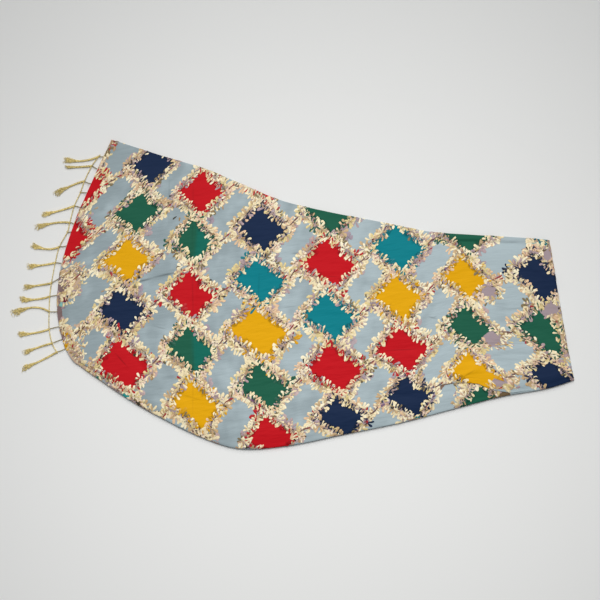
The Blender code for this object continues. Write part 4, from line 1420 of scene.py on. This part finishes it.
# Hair creases, painted into the cloth's colour as lines of shade, from end to end, with their half
# width and how dark their painted shade is.
PaintedCrease = namedtuple("PaintedCrease", "start_x start_y end_x end_y half_width depth")
PAINTED_CREASE_LINES = (
    PaintedCrease(-304, 21, -250, 34, 3.0, 1.4),
    PaintedCrease(-266, 32, -204, 45, 2.8, 1.2),
    PaintedCrease(-184, 244, -187, 60, 2.8, 0.46),
    PaintedCrease(-187, 90, -184, -90, 2.8, 0.46),
    PaintedCrease(-184, -40, -186, -258, 2.8, 0.40),
    PaintedCrease(-228, 232, -230, 120, 2.8, 0.50),
    PaintedCrease(-62, 60, -66, -40, 2.8, 0.44),
    PaintedCrease(-334, -100, -300, -138, 2.1, 1.00),
    PaintedCrease(-264, -55, -226, -64, 2.1, 0.75),
    PaintedCrease(-8, 77, 22, 79, 2.1, 1.12),
    PaintedCrease(50, 36, 92, 34, 1.8, 0.62),
    PaintedCrease(-28, -22, 12, -20, 2.1, 0.56),
    PaintedCrease(-132, -46, -110, -45, 2.1, 0.62),
    PaintedCrease(142, -103, 262, -97, 2.1, 0.75),
    PaintedCrease(244, -38, 270, -44, 2.3, 1.00),
    PaintedCrease(250, -45, 268, -36, 1.8, 0.62),
    PaintedCrease(306, -154, 340, -134, 2.3, 0.75),
    PaintedCrease(380, -25, 430, -24, 2.1, 0.50),
    PaintedCrease(362, -90, 446, -88, 1.8, 0.50),
    PaintedCrease(-215, -180, -160, -196, 2.1, 0.50),
)


def brocade_material(settings):
    """Silk brocade, woven on a jacquard loom: a satin ground with soft sheen and extra-weft motifs.

    The weave map carries the lozenge lattice in metres of cloth. A lozenge's edge and its leafy
    border's edge are read by direction from its centre.
    """
    material, tree = new_material("silk_brocade")
    shader = tree.nodes["Principled BSDF"]

    weave = add_node(tree, "ShaderNodeUVMap", uv_map="weave").outputs["UV"]
    cell = add_node(
        tree,
        "ShaderNodeVectorMath",
        {0: weave, 1: (1 / PITCH_ALONG, 1 / PITCH_ACROSS, 1), 2: (0.5, 0.5, 0)},
        operation="MULTIPLY_ADD",
    )
    share = add_node(tree, "ShaderNodeVectorMath", {0: cell.outputs[0]}, operation="FRACTION")
    local = add_node(
        tree,
        "ShaderNodeVectorMath",
        {
            0: share.outputs[0],
            1: (PITCH_ALONG / MM, PITCH_ACROSS / MM, 0),
            2: (-PITCH_ALONG / MM / 2, -PITCH_ACROSS / MM / 2, 0),
        },
        operation="MULTIPLY_ADD",
    )
    lozenges = add_node(tree, "ShaderNodeAttribute", attribute_name="lozenge_colour")
    patches = add_node(tree, "ShaderNodeAttribute", attribute_name="patch_colour")
    distance = add_node(tree, "ShaderNodeVectorMath", {0: local.outputs[0]}, operation="LENGTH")
    size = add_node(
        tree,
        "ShaderNodeMath",
        {0: lozenges.outputs["Alpha"], 1: LARGEST_SIZE},
        operation="MULTIPLY",
    )
    radius = add_node(
        tree,
        "ShaderNodeMath",
        {0: distance.outputs["Value"], 1: size.outputs[0]},
        operation="DIVIDE",
    )
    parts = add_node(tree, "ShaderNodeSeparateXYZ", {0: local.outputs[0]})
    angle = add_node(
        tree, "ShaderNodeMath", {0: parts.outputs["Y"], 1: parts.outputs["X"]}, operation="ARCTAN2"
    )
    turn = add_node(
        tree,
        "ShaderNodeMath",
        {0: angle.outputs[0], 1: 1 / (2 * math.pi), 2: 0.5},
        operation="MULTIPLY_ADD",
    )
    edges = add_node(tree, "ShaderNodeValToRGB", {"Fac": turn.outputs[0]})
    stops = edges.color_ramp.elements
    for k, edge in enumerate(LOZENGE):
        place = (edge.degrees + 180) / 360
        stop = stops[0] if k == 0 else stops[-1] if k == len(LOZENGE) - 1 else stops.new(place)
        stop.position = place
        stop.color = (edge.lozenge / LARGEST_RADIUS, edge.border / LARGEST_RADIUS, 0, 1)
    limits = add_node(tree, "ShaderNodeSeparateColor", {0: edges.outputs["Color"]})

    ragged = noise(tree, weave, 9 * MM, detail=2.0)
    torn = add_node(
        tree, "ShaderNodeMath", {0: ragged, 1: 18.0, 2: -6.0}, operation="MULTIPLY_ADD"
    )
    depth = depth_inside(tree, radius.outputs[0], limits.outputs[0], torn.outputs[0])
    border_depth = depth_inside(tree, radius.outputs[0], limits.outputs[1], torn.outputs[0])

    streaks = noise(tree, weave, 1.4 * MM, stretch=(0.03, 1), detail=3.0)
    cloudy = noise(tree, weave, 45 * MM, detail=2.0)
    woven_at = add_node(tree, "ShaderNodeSeparateXYZ", {0: weave})
    darkening = add_node(
        tree,
        "ShaderNodeMath",
        {0: woven_at.outputs["X"], 1: -FRINGEWARD_DARKENING, 2: FRINGEWARD_START},
        operation="MULTIPLY_ADD",
    )
    darkening = add_node(
        tree, "ShaderNodeMath", {0: cloudy, 1: CLOUDING, 2: darkening.outputs[0]}, operation="MULTIPLY_ADD"
    )
    ground = crossed(tree, darkening.outputs[0], 0.35, 0.65, settings.ground, settings.ground_shade)

    mottled = noise(tree, weave, 4.2 * MM, detail=1.0)
    backing = crossed(tree, mottled, 0.42, 0.58, settings.backing, settings.backing_shade)
    specks = noise(tree, weave, 2.6 * MM, detail=1.0, offset=(3.1, 1.7))
    backing = crossed(tree, specks, 0.55, 0.62, backing, settings.speck)

    # A lozenge's colour darkens towards its margin.
    margin = add_node(
        tree,
        "ShaderNodeMapRange",
        {"Value": depth, "From Min": 1.0, "From Max": 8.0, "To Min": 0.45, "To Max": 1.0},
    )
    deep = add_node(
        tree,
        "ShaderNodeVectorMath",
        {0: lozenges.outputs["Color"], "Scale": margin.outputs[0]},
        operation="SCALE",
    )
    woven = crossed(tree, border_depth, -1.5, 1.5, ground, backing)
    woven = crossed(tree, depth, -0.5, 0.5, woven, deep.outputs[0])
    patch_edge = add_node(
        tree,
        "ShaderNodeMath",
        {0: ragged, 1: 0.5, 2: patches.outputs["Alpha"]},
        operation="MULTIPLY_ADD",
    )
    woven = crossed(tree, patch_edge.outputs[0], 0.70, 0.76, woven, patches.outputs["Color"])
    laid = add_node(tree, "ShaderNodeTexCoord").outputs["Object"]
    # The hair creases are painted shade: they darken the colour, not the surface.
    crease_shade_depth = painted_crease_depth(tree, laid)
    painted_crease_tone = add_node(
        tree, "ShaderNodeMath", {0: crease_shade_depth, 1: -PAINTED_CREASE_SHADE, 2: 1.0}, operation="MULTIPLY_ADD"
    )
    tone = add_node(
        tree,
        "ShaderNodeMapRange",
        {"Value": streaks, "From Min": 0.3, "From Max": 0.7, "To Min": 0.97, "To Max": 1.03},
    )
    tone = add_node(
        tree, "ShaderNodeMath", {0: tone.outputs[0], 1: painted_crease_tone.outputs[0]}, operation="MULTIPLY"
    )
    lit = add_node(
        tree, "ShaderNodeVectorMath", {0: woven, "Scale": tone.outputs[0]}, operation="SCALE"
    )
    tree.links.new(lit.outputs[0], shader.inputs["Base Color"])

    turned = add_node(
        tree, "ShaderNodeVectorRotate", {"Vector": laid, "Angle": WRINKLE_TURN}, rotation_type="Z_AXIS"
    ).outputs[0]
    wrinkles = noise(tree, turned, 16 * MM, stretch=(0.34, 1), detail=2.0, offset=(0.7, 5.2))
    wrinkle_bump = add_node(
        tree,
        "ShaderNodeBump",
        {"Height": wrinkles, "Distance": settings.wrinkle_depth, "Strength": 1.0},
    )
    puckers = noise(tree, turned, 7 * MM, stretch=(0.18, 1), detail=3.0, offset=(4.1, 0.6))
    pucker_bump = add_node(
        tree,
        "ShaderNodeBump",
        {
            "Height": puckers,
            "Distance": settings.wrinkle_depth / 3,
            "Strength": 1.0,
            "Normal": wrinkle_bump.outputs[0],
        },
    )
    ribs = add_node(
        tree,
        "ShaderNodeTexWave",
        {
            "Vector": weave,
            "Scale": 2 * math.pi / settings.rib_spacing / WAVE_PHASE,
            "Distortion": 0.6,
        },
        bands_direction="Y",
    )
    weave_bump = add_node(
        tree,
        "ShaderNodeBump",
        {
            "Height": ribs.outputs["Fac"],
            "Distance": settings.rib_depth,
            "Strength": 0.4,
            "Normal": pucker_bump.outputs[0],
        },
    )
    tree.links.new(weave_bump.outputs[0], shader.inputs["Normal"])
    shader.inputs["Roughness"].default_value = settings.roughness
    shader.inputs["Sheen Weight"].default_value = 0.03
    shader.inputs["Sheen Roughness"].default_value = 0.3
    shader.inputs["Specular IOR Level"].default_value = 0.1
    return material


def noise(tree, vector, size, stretch=(1, 1), detail=2.0, offset=(0, 0)):
    """Noise with features of about one size in the cloth, stretched by a share each way."""
    scaled = add_node(
        tree,
        "ShaderNodeVectorMath",
        {0: vector, 1: (stretch[0] / size, stretch[1] / size, 1), 2: (*offset, 0)},
        operation="MULTIPLY_ADD",
    )
    pattern = add_node(
        tree,
        "ShaderNodeTexNoise",
        {"Vector": scaled.outputs[0], "Scale": 1.0, "Detail": detail},
        noise_dimensions="2D",
    )
    return pattern.outputs["Fac"]


def painted_crease_depth(tree, laid):
    """How deeply a place lies in a hair crease's painted shade, each one a long thin oval that fades at
    its ends.
    """
    deepest = None
    for crease in PAINTED_CREASE_LINES:
        run_x, run_y = crease.end_x - crease.start_x, crease.end_y - crease.start_y
        middle = (crease.start_x + run_x / 2) * MM, (crease.start_y + run_y / 2) * MM, 0
        along = add_node(
            tree,
            "ShaderNodeMapping",
            {
                "Vector": laid,
                "Location": middle,
                "Rotation": (0, 0, math.atan2(run_y, run_x)),
                "Scale": (math.hypot(run_x, run_y) / 2 * MM, crease.half_width * MM, 1),
            },
            vector_type="TEXTURE",
        )
        off = add_node(tree, "ShaderNodeVectorMath", {0: along.outputs[0]}, operation="LENGTH")
        depth = add_node(
            tree,
            "ShaderNodeMapRange",
            {"Value": off.outputs["Value"], "From Max": 1.0, "To Min": crease.depth, "To Max": 0.0},
            interpolation_type="SMOOTHSTEP",
        ).outputs[0]
        if deepest is not None:
            depth = add_node(
                tree, "ShaderNodeMath", {0: deepest, 1: depth}, operation="MAXIMUM"
            ).outputs[0]
        deepest = depth
    return deepest


def crossed(tree, value, low, high, first, second):
    """A colour that turns from the first to the second as a value passes from low to high."""
    share = add_node(
        tree,
        "ShaderNodeMapRange",
        {"Value": value, "From Min": low, "From Max": high},
        interpolation_type="SMOOTHSTEP",
    )
    # A mix node's inputs 6 and 7 and its output 2 are those for colours.
    mixed = add_node(
        tree, "ShaderNodeMix", {0: share.outputs[0], 6: first, 7: second}, data_type="RGBA"
    )
    return mixed.outputs[2]


def depth_inside(tree, radius, limit, torn):
    """How far in mm a radius lies inside a limit that is torn by noise."""
    reach = add_node(
        tree,
        "ShaderNodeMath",
        {0: limit, 1: LARGEST_RADIUS, 2: torn},
        operation="MULTIPLY_ADD",
    )
    gap = add_node(tree, "ShaderNodeMath", {0: reach.outputs[0], 1: radius}, operation="SUBTRACT")
    return gap.outputs[0]


def leaf_material(settings):
    """Silk weft floats: short glossy threads that stand a hair above the ground they are woven in."""
    material, tree = new_material("silk_weft_floats")
    shader = tree.nodes["Principled BSDF"]
    colours = add_node(tree, "ShaderNodeAttribute", attribute_name="thread_colour")
    places = add_node(tree, "ShaderNodeTexCoord").outputs["Object"]
    threads = noise(tree, places, 1.3 * MM, stretch=(0.25, 1), detail=2.0)
    tone = add_node(
        tree,
        "ShaderNodeMapRange",
        {"Value": threads, "From Min": 0.3, "From Max": 0.7, "To Min": 0.78, "To Max": 1.02},
    )
    lit = add_node(
        tree,
        "ShaderNodeVectorMath",
        {0: colours.outputs["Color"], "Scale": tone.outputs[0]},
        operation="SCALE",
    )
    tree.links.new(lit.outputs[0], shader.inputs["Base Color"])
    bump = add_node(
        tree, "ShaderNodeBump", {"Height": threads, "Distance": 0.15 * MM, "Strength": 0.5}
    )
    tree.links.new(bump.outputs[0], shader.inputs["Normal"])
    shader.inputs["Roughness"].default_value = settings.roughness
    shader.inputs["Specular IOR Level"].default_value = 0.2
    return material


def gold_thread_material(settings):
    """Twisted gilt thread: silk wrapped in dull gold, lighter where a ply turns to the light."""
    material, tree = new_material("twisted_gold_thread")
    shader = tree.nodes["Principled BSDF"]
    tones = add_node(tree, "ShaderNodeAttribute", attribute_name="thread_tone")
    places = add_node(tree, "ShaderNodeTexCoord").outputs["Object"]
    worn = add_node(
        tree,
        "ShaderNodeTexNoise",
        {"Vector": places, "Scale": 1 / (3.0 * MM), "Detail": 2.0},
    )
    gold = crossed(tree, worn.outputs["Fac"], 0.4, 0.66, settings.gold, settings.gold_shade)
    lit = add_node(
        tree, "ShaderNodeVectorMath", {0: gold, 1: tones.outputs["Color"]}, operation="MULTIPLY"
    )
    tree.links.new(lit.outputs[0], shader.inputs["Base Color"])
    fibres = add_node(
        tree,
        "ShaderNodeTexNoise",
        {"Vector": places, "Scale": 1 / (0.5 * MM), "Detail": 1.0},
    )
    bump = add_node(
        tree,
        "ShaderNodeBump",
        {"Height": fibres.outputs["Fac"], "Distance": 0.1 * MM, "Strength": 0.4},
    )
    tree.links.new(bump.outputs[0], shader.inputs["Normal"])
    shader.inputs["Roughness"].default_value = settings.thread_roughness
    shader.inputs["Metallic"].default_value = 0.15
    return material


def floor_material(settings):
    """Matte seamless paper: an even pale sweep with the faintest tooth."""
    material, tree = new_material("seamless_paper")
    shader = tree.nodes["Principled BSDF"]
    places = add_node(tree, "ShaderNodeTexCoord").outputs["Object"]
    tooth = add_node(
        tree,
        "ShaderNodeTexNoise",
        {"Vector": places, "Scale": 1 / (2.0 * MM), "Detail": 2.0},
    )
    bump = add_node(
        tree,
        "ShaderNodeBump",
        {"Height": tooth.outputs["Fac"], "Distance": 0.05 * MM, "Strength": 0.2},
    )
    tree.links.new(bump.outputs[0], shader.inputs["Normal"])
    shader.inputs["Base Color"].default_value = settings.floor
    shader.inputs["Roughness"].default_value = 0.9
    return material


# --- Settings ------------------------------------------------------------------------------------


def length(name, description, default):
    """A length in metres for the panel."""
    return FloatProperty(
        name=name, description=description, default=default, unit="LENGTH", precision=5
    )


def colour(name, description, hex_colour):
    """A colour for the panel."""
    return FloatVectorProperty(
        name=name,
        description=description,
        default=linear(hex_colour),
        subtype="COLOR",
        size=4,
        min=0.0,
        max=1.0,
    )


class StoleCloth(bpy.types.PropertyGroup):
    thickness: length("Thickness", "Thickness of the woven cloth", 0.7 * MM)
    wrinkle_depth: length("Wrinkle depth", "Depth of the finest wrinkles", 1.4 * MM)
    rib_spacing: length(
        "Rib spacing", "Weft ribs, coarser than real ones so that they show", 3.2 * math.pi * MM
    )
    rib_depth: length("Rib depth", "Height of a weft rib", 0.12 * MM)
    roughness: FloatProperty(name="Roughness", description="Satin ground", default=0.7, min=0, max=1)
    ground: colour("Ground", "Blue-grey satin ground", "#A3B1B5")
    # The ground's darker tone, laid on towards the fringe and in clouds.
    ground_shade: colour("Ground shade", "The ground where it is worn duller", "#8C999D")
    backing: colour("Leaf ground", "Behind the leaves", "#B99E84")
    backing_shade: colour("Leaf ground shade", "Duller threads behind the leaves", "#968489")
    speck: colour("Specks", "Dark gaps between leaves", "#3A3024")


class StoleLeaves(bpy.types.PropertyGroup):
    lift: length("Lift", "How far the weft floats stand above the ground", 0.22 * MM)
    ridge: length("Ridge", "How much higher a leaflet's middle stands", 0.28 * MM)
    roughness: FloatProperty(name="Roughness", description="Silk floats", default=0.5, min=0, max=1)


class StoleFringe(bpy.types.PropertyGroup):
    cord_radius: length("Cord radius", "Running cord", 0.95 * MM)
    bar_radius: length("Bar radius", "Bars from the cloth to the cord", 0.85 * MM)
    lay: length("Lay", "Length of one turn of the plies", 5.0 * MM)
    thread_radius: length("Thread radius", "One thread of a tassel", 0.40 * MM)
    threads: IntProperty(name="Threads", description="Threads in a tassel's ply", default=6, min=2)
    thread_roughness: FloatProperty(
        name="Roughness", description="Gold thread", default=0.5, min=0, max=1
    )
    gold: colour("Gold", "Gilt thread", "#E3CF8A")
    gold_shade: colour("Gold shade", "Gilt thread where it is dull", "#B8A25C")


class StoleStage(bpy.types.PropertyGroup):
    floor: colour("Floor", "Pale paper sweep", "#DEDEDC")
    floor_size: length("Floor size", "Side of the floor", 12.0)
    overhead: FloatProperty(
        name="Overhead light", description="Soft lamp above", default=362.0, unit="POWER"
    )
    back: FloatProperty(
        name="Back light", description="Soft box from behind", default=94.0, unit="POWER"
    )
    fill: FloatProperty(name="Fill", description="Light from all round", default=0.185, min=0)
    camera_height: length("Camera height", "The camera looks straight down from here", 3.0)


# --- Operators -----------------------------------------------------------------------------------


class STOLE_OT_inner_layers(bpy.types.Operator):
    """Stacks the three layers that lie under the upper one, with their folds and open edges"""

    bl_idname = "stole.inner_layers"
    bl_label = "Inner layers"

    def execute(self, context):
        sheet, bottom = inner_sheet()
        mesh = sheet_mesh("inner_layers", sheet, bottom[::-1])
        piece = placed(mesh, silk_brocade(context))
        belongs(piece, "brocade_inside", "hidden_layers")
        return {"FINISHED"}


class STOLE_OT_upper_cloth(bpy.types.Operator):
    """Lays the woven layer that shows, round both folds, with its creases and its tuck"""

    bl_idname = "stole.upper_cloth"
    bl_label = "Upper cloth"

    def execute(self, context):
        sheet = upper_sheet()
        mesh = sheet_mesh("upper_cloth", joined(sheet, tuck_flap(sheet)))
        piece = placed(mesh, silk_brocade(context))
        with_wall(piece, context.scene.stole_cloth.thickness)
        belongs(piece, "brocade", "upper_layer")
        return {"FINISHED"}


class STOLE_OT_brocade_leaves(bpy.types.Operator):
    """Weaves the leafy borders of the lozenges as raised weft floats"""

    bl_idname = "stole.brocade_leaves"
    bl_label = "Brocade leaves"

    def execute(self, context):
        settings = context.scene.stole_leaves
        upper = bpy.data.objects["upper_cloth"].data
        table = ClothTable(upper)
        spots, faces, colours = brocade_leaves(table, settings.lift, settings.ridge)
        if not spots:
            raise RuntimeError("no leaf lies on the cloth")
        mesh = bpy.data.meshes.new("brocade_leaves")
        mesh.from_pydata(spots, [], faces)
        mesh.update()
        add_colours(mesh, "thread_colour", colours)
        piece = placed(mesh, leaf_material(settings))
        belongs(piece, "brocade")
        return {"FINISHED"}


class STOLE_OT_fringe_heading(bpy.types.Operator):
    """Twists the bars and the running cord of the fringe and ties their knots"""

    bl_idname = "stole.fringe_heading"
    bl_label = "Fringe heading"

    def execute(self, context):
        settings = context.scene.stole_fringe
        draw = random.Random(7)
        spots, faces, tones = [], [], []
        knots = []
        for bar in all_bars():
            edge, outward, height = end_edge(bar.root_y * MM)
            knot = np.array([bar.knot_x, bar.knot_y]) * MM
            knots.append((*knot, CORD_LEVEL))
            inside = edge - outward * ROOT_INSIDE
            line = [(*inside, height - 1.4 * MM), (*edge, height - 1.2 * MM)]
            middle = (edge + knot) / 2 + np.array([0, draw.uniform(-0.8, 0.8)]) * MM
            line += [(*middle, (height + CORD_LEVEL) / 2 - 0.9 * MM), (*knot, CORD_LEVEL)]
            path = curve_through(line, 22)
            made = len(tones)
            twisted_cord(path, settings.bar_radius, settings.lay, 3, spots, faces, tones, draw)
            # Painted shade: the bars' thread is darkened.
            tones[made:] = [tone * BAR_PAINTED_SHADE for tone in tones[made:]]
        first = np.array(knots[0]) + np.array([2.5, 3.0, 0]) * MM
        last = np.array(knots[-1]) + np.array([1.5, -2.5, 0]) * MM
        path = curve_through([first, *knots, last], 260)
        twisted_cord(path, settings.cord_radius, settings.lay * 1.2, 3, spots, faces, tones, draw)
        for x, y, z in knots:
            wrap_knot((x, y, z), settings, spots, faces, tones, draw)
        piece = placed(thread_mesh("fringe_heading", spots, faces, tones), gold_thread(context))
        belongs(piece, "gold_thread", "fringe_net")
        return {"FINISHED"}


def wrap_knot(centre, settings, spots, faces, tones, draw):
    """A small knot: a thread wound round the running cord and back over itself."""
    turn = np.linspace(0, 2 * np.pi * 2.5, 46)
    tilt = draw.uniform(-0.3, 0.3)
    radius = settings.cord_radius * 1.25
    x = centre[0] + radius * np.cos(turn) * (1 + 0.12 * np.sin(turn * 0.4))
    y = centre[1] + np.linspace(-1.0, 1.0, len(turn)) * MM + tilt * MM * np.cos(turn)
    z = centre[2] + radius * 0.95 * np.sin(turn)
    path = np.column_stack([x, y, z])
    made = tube(path, settings.bar_radius * 0.62, 6, spots, faces)
    tones.extend([draw.uniform(0.75, 1.0)] * made)


class STOLE_OT_gold_tassels(bpy.types.Operator):
    """Twists the gold tassels and frays their cut ends"""

    bl_idname = "stole.gold_tassels"
    bl_label = "Gold tassels"

    def execute(self, context):
        settings = context.scene.stole_fringe
        draw = random.Random(11)
        spots, faces, tones = [], [], []
        for tassel in TASSELS:
            tassel_threads(tassel, settings, spots, faces, tones, draw)
        piece = placed(thread_mesh("gold_tassels", spots, faces, tones), gold_thread(context))
        nodes = [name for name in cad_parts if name.startswith("tassel_")]
        belongs(piece, "gold_thread", *nodes)
        return {"FINISHED"}


# A tassel's plies, how long one turn of a ply and of a thread in it is, and how far out they lie.
PLIES = 3
PLY_LAY = 13 * MM
THREAD_LAY = 8 * MM
PLY_OUT = 0.95 * MM
THREAD_OUT = 0.6 * MM


def tassel_threads(tassel, settings, spots, faces, tones, draw):
    """A tassel's plies of thread, twisted together near the knot and loose at the cut end."""
    places = np.linspace(0, 1, TASSEL_POINTS)
    full = tassel_path(tassel, TASSEL_POINTS)
    phase = draw.uniform(0, 6)
    for ply in range(PLIES):
        for thread in range(settings.threads):
            share = places * draw.uniform(0.84, 1.0)
            path = np.column_stack([np.interp(share, places, values) for values in full.T])
            sideways = across_path(path)[1]
            travelled = travelled_along(path)
            loose = soft_step(0.55, 1.0, share)
            ply_angle = travelled / PLY_LAY * 2 * np.pi * (1 - 0.5 * loose)
            ply_angle = ply_angle + 2 * np.pi * ply / PLIES + phase
            own_angle = travelled / THREAD_LAY * 2 * np.pi + 2 * np.pi * thread / settings.threads
            ply_out = PLY_OUT + (tassel.spread * 1.1 * MM - PLY_OUT) * loose
            own_out = THREAD_OUT + tassel.spread * 0.8 * MM * loose * draw.uniform(0.5, 1.3)
            wide = ply_out * np.cos(ply_angle) + own_out * np.cos(own_angle)
            high = 0.85 * MM * np.sin(ply_angle) * (1 - 0.35 * loose) + 0.45 * MM * np.sin(own_angle)
            line = path + sideways * wide[:, None] + np.array([0, 0, 1]) * high[:, None]
            line[:, 2] = np.maximum(line[:, 2], settings.thread_radius * 1.4)
            radius = settings.thread_radius * (1 - 0.35 * soft_step(0.8, 1.0, share))
            made = tube(line, radius, 5, spots, faces)
            tones.extend([draw.uniform(0.72, 1.25)] * made)


class STOLE_OT_stage(bpy.types.Operator):
    """Lays the pale floor, hangs the soft lights and sets the camera above the stole"""

    bl_idname = "stole.stage"
    bl_label = "Floor, lights and camera"

    def execute(self, context):
        settings = context.scene.stole_stage
        bpy.ops.object.select_all(action="DESELECT")
        bpy.ops.mesh.primitive_plane_add(size=settings.floor_size, location=(0, 0, -FLOOR_GAP))
        floor = context.object
        floor.name = "floor"
        floor.data.materials.append(floor_material(settings))
        box = bpy.data.lights.new("back_light", "AREA")
        box.energy = settings.back
        box.size = BACK_LIGHT_SIZE
        hang(box, BACK_LIGHT, (0, 0, 0))
        pool = bpy.data.lights.new("overhead_pool", "SPOT")
        pool.energy = settings.overhead
        pool.spot_size = POOL_SPREAD
        pool.spot_blend = 1.0
        pool.shadow_soft_size = POOL_LAMP_SIZE
        hang(pool, POOL_LAMP, POOL_TARGET)
        world = bpy.data.worlds.new("soft_room")
        context.scene.world = world
        world.use_nodes = True
        background = world.node_tree.nodes["Background"]
        background.inputs["Color"].default_value = ROOM_COLOUR
        background.inputs["Strength"].default_value = settings.fill
        view = bpy.data.cameras.new("view")
        view.lens = view.sensor_width * settings.camera_height / FRAME_WIDTH
        camera = bpy.data.objects.new("view", view)
        camera.location = (*FRAME_CENTRE, settings.camera_height)
        context.scene.collection.objects.link(camera)
        context.scene.camera = camera
        context.scene.view_settings.view_transform = "Standard"
        return {"FINISHED"}


# The lamps hang here, and the overhead one throws a pool of light that fades to the corners.
BACK_LIGHT = (0.3, 4.2, 4.2)
BACK_LIGHT_SIZE = 2.4
POOL_LAMP = (0.0, 0.9, 2.9)
POOL_LAMP_SIZE = 0.8
POOL_TARGET = (0.036, -0.36, 0.0)
POOL_SPREAD = math.radians(57)
ROOM_COLOUR = (0.94, 0.97, 1.0, 1.0)
FLOOR_GAP = 0.2 * MM
# The square that the camera frames on the floor.
FRAME_WIDTH = 1.110
FRAME_CENTRE = (0.0123, -0.0083)


def hang(lamp, place, target):
    """Puts a lamp at a place and turns it to its target."""
    light = bpy.data.objects.new(lamp.name, lamp)
    light.location = place
    light.rotation_euler = (Vector(target) - Vector(place)).to_track_quat("-Z", "Y").to_euler()
    bpy.context.scene.collection.objects.link(light)


def silk_brocade(context):
    """The brocade's material, made once for both cloth pieces."""
    return bpy.data.materials.get("silk_brocade") or brocade_material(context.scene.stole_cloth)


def gold_thread(context):
    """The gold thread's material, made once for the whole fringe."""
    found = bpy.data.materials.get("twisted_gold_thread")
    return found or gold_thread_material(context.scene.stole_fringe)


class VIEW3D_PT_stole(bpy.types.Panel):
    """Makes the stole's pieces one by one"""

    bl_idname = "VIEW3D_PT_stole"
    bl_label = "Folded dupatta stole"
    bl_space_type = "VIEW_3D"
    bl_region_type = "UI"
    bl_category = "Stole"

    def draw(self, context):
        for settings, operators in PANEL_ROWS:
            box = self.layout.box()
            group = getattr(context.scene, settings)
            for name in type(group).__annotations__:
                box.prop(group, name)
            for operator in operators:
                box.operator(operator)


SETTINGS = {
    "stole_cloth": StoleCloth,
    "stole_leaves": StoleLeaves,
    "stole_fringe": StoleFringe,
    "stole_stage": StoleStage,
}
PANEL_ROWS = (
    ("stole_cloth", ("stole.inner_layers", "stole.upper_cloth")),
    ("stole_leaves", ("stole.brocade_leaves",)),
    ("stole_fringe", ("stole.fringe_heading", "stole.gold_tassels")),
    ("stole_stage", ("stole.stage",)),
)
OPERATORS = (
    STOLE_OT_inner_layers,
    STOLE_OT_upper_cloth,
    STOLE_OT_brocade_leaves,
    STOLE_OT_fringe_heading,
    STOLE_OT_gold_tassels,
    STOLE_OT_stage,
)


def register():
    for name, group in SETTINGS.items():
        bpy.utils.register_class(group)
        setattr(bpy.types.Scene, name, PointerProperty(type=group))
    for operator in OPERATORS:
        bpy.utils.register_class(operator)
    bpy.utils.register_class(VIEW3D_PT_stole)


def unregister():
    bpy.utils.unregister_class(VIEW3D_PT_stole)
    for operator in reversed(OPERATORS):
        bpy.utils.unregister_class(operator)
    for name, group in SETTINGS.items():
        delattr(bpy.types.Scene, name)
        bpy.utils.unregister_class(group)


def main():
    register()
    bpy.ops.stole.stage()
    bpy.ops.stole.inner_layers()
    bpy.ops.stole.upper_cloth()
    bpy.ops.stole.brocade_leaves()
    bpy.ops.stole.fringe_heading()
    bpy.ops.stole.gold_tassels()


if __name__ == "__main__":
    main()
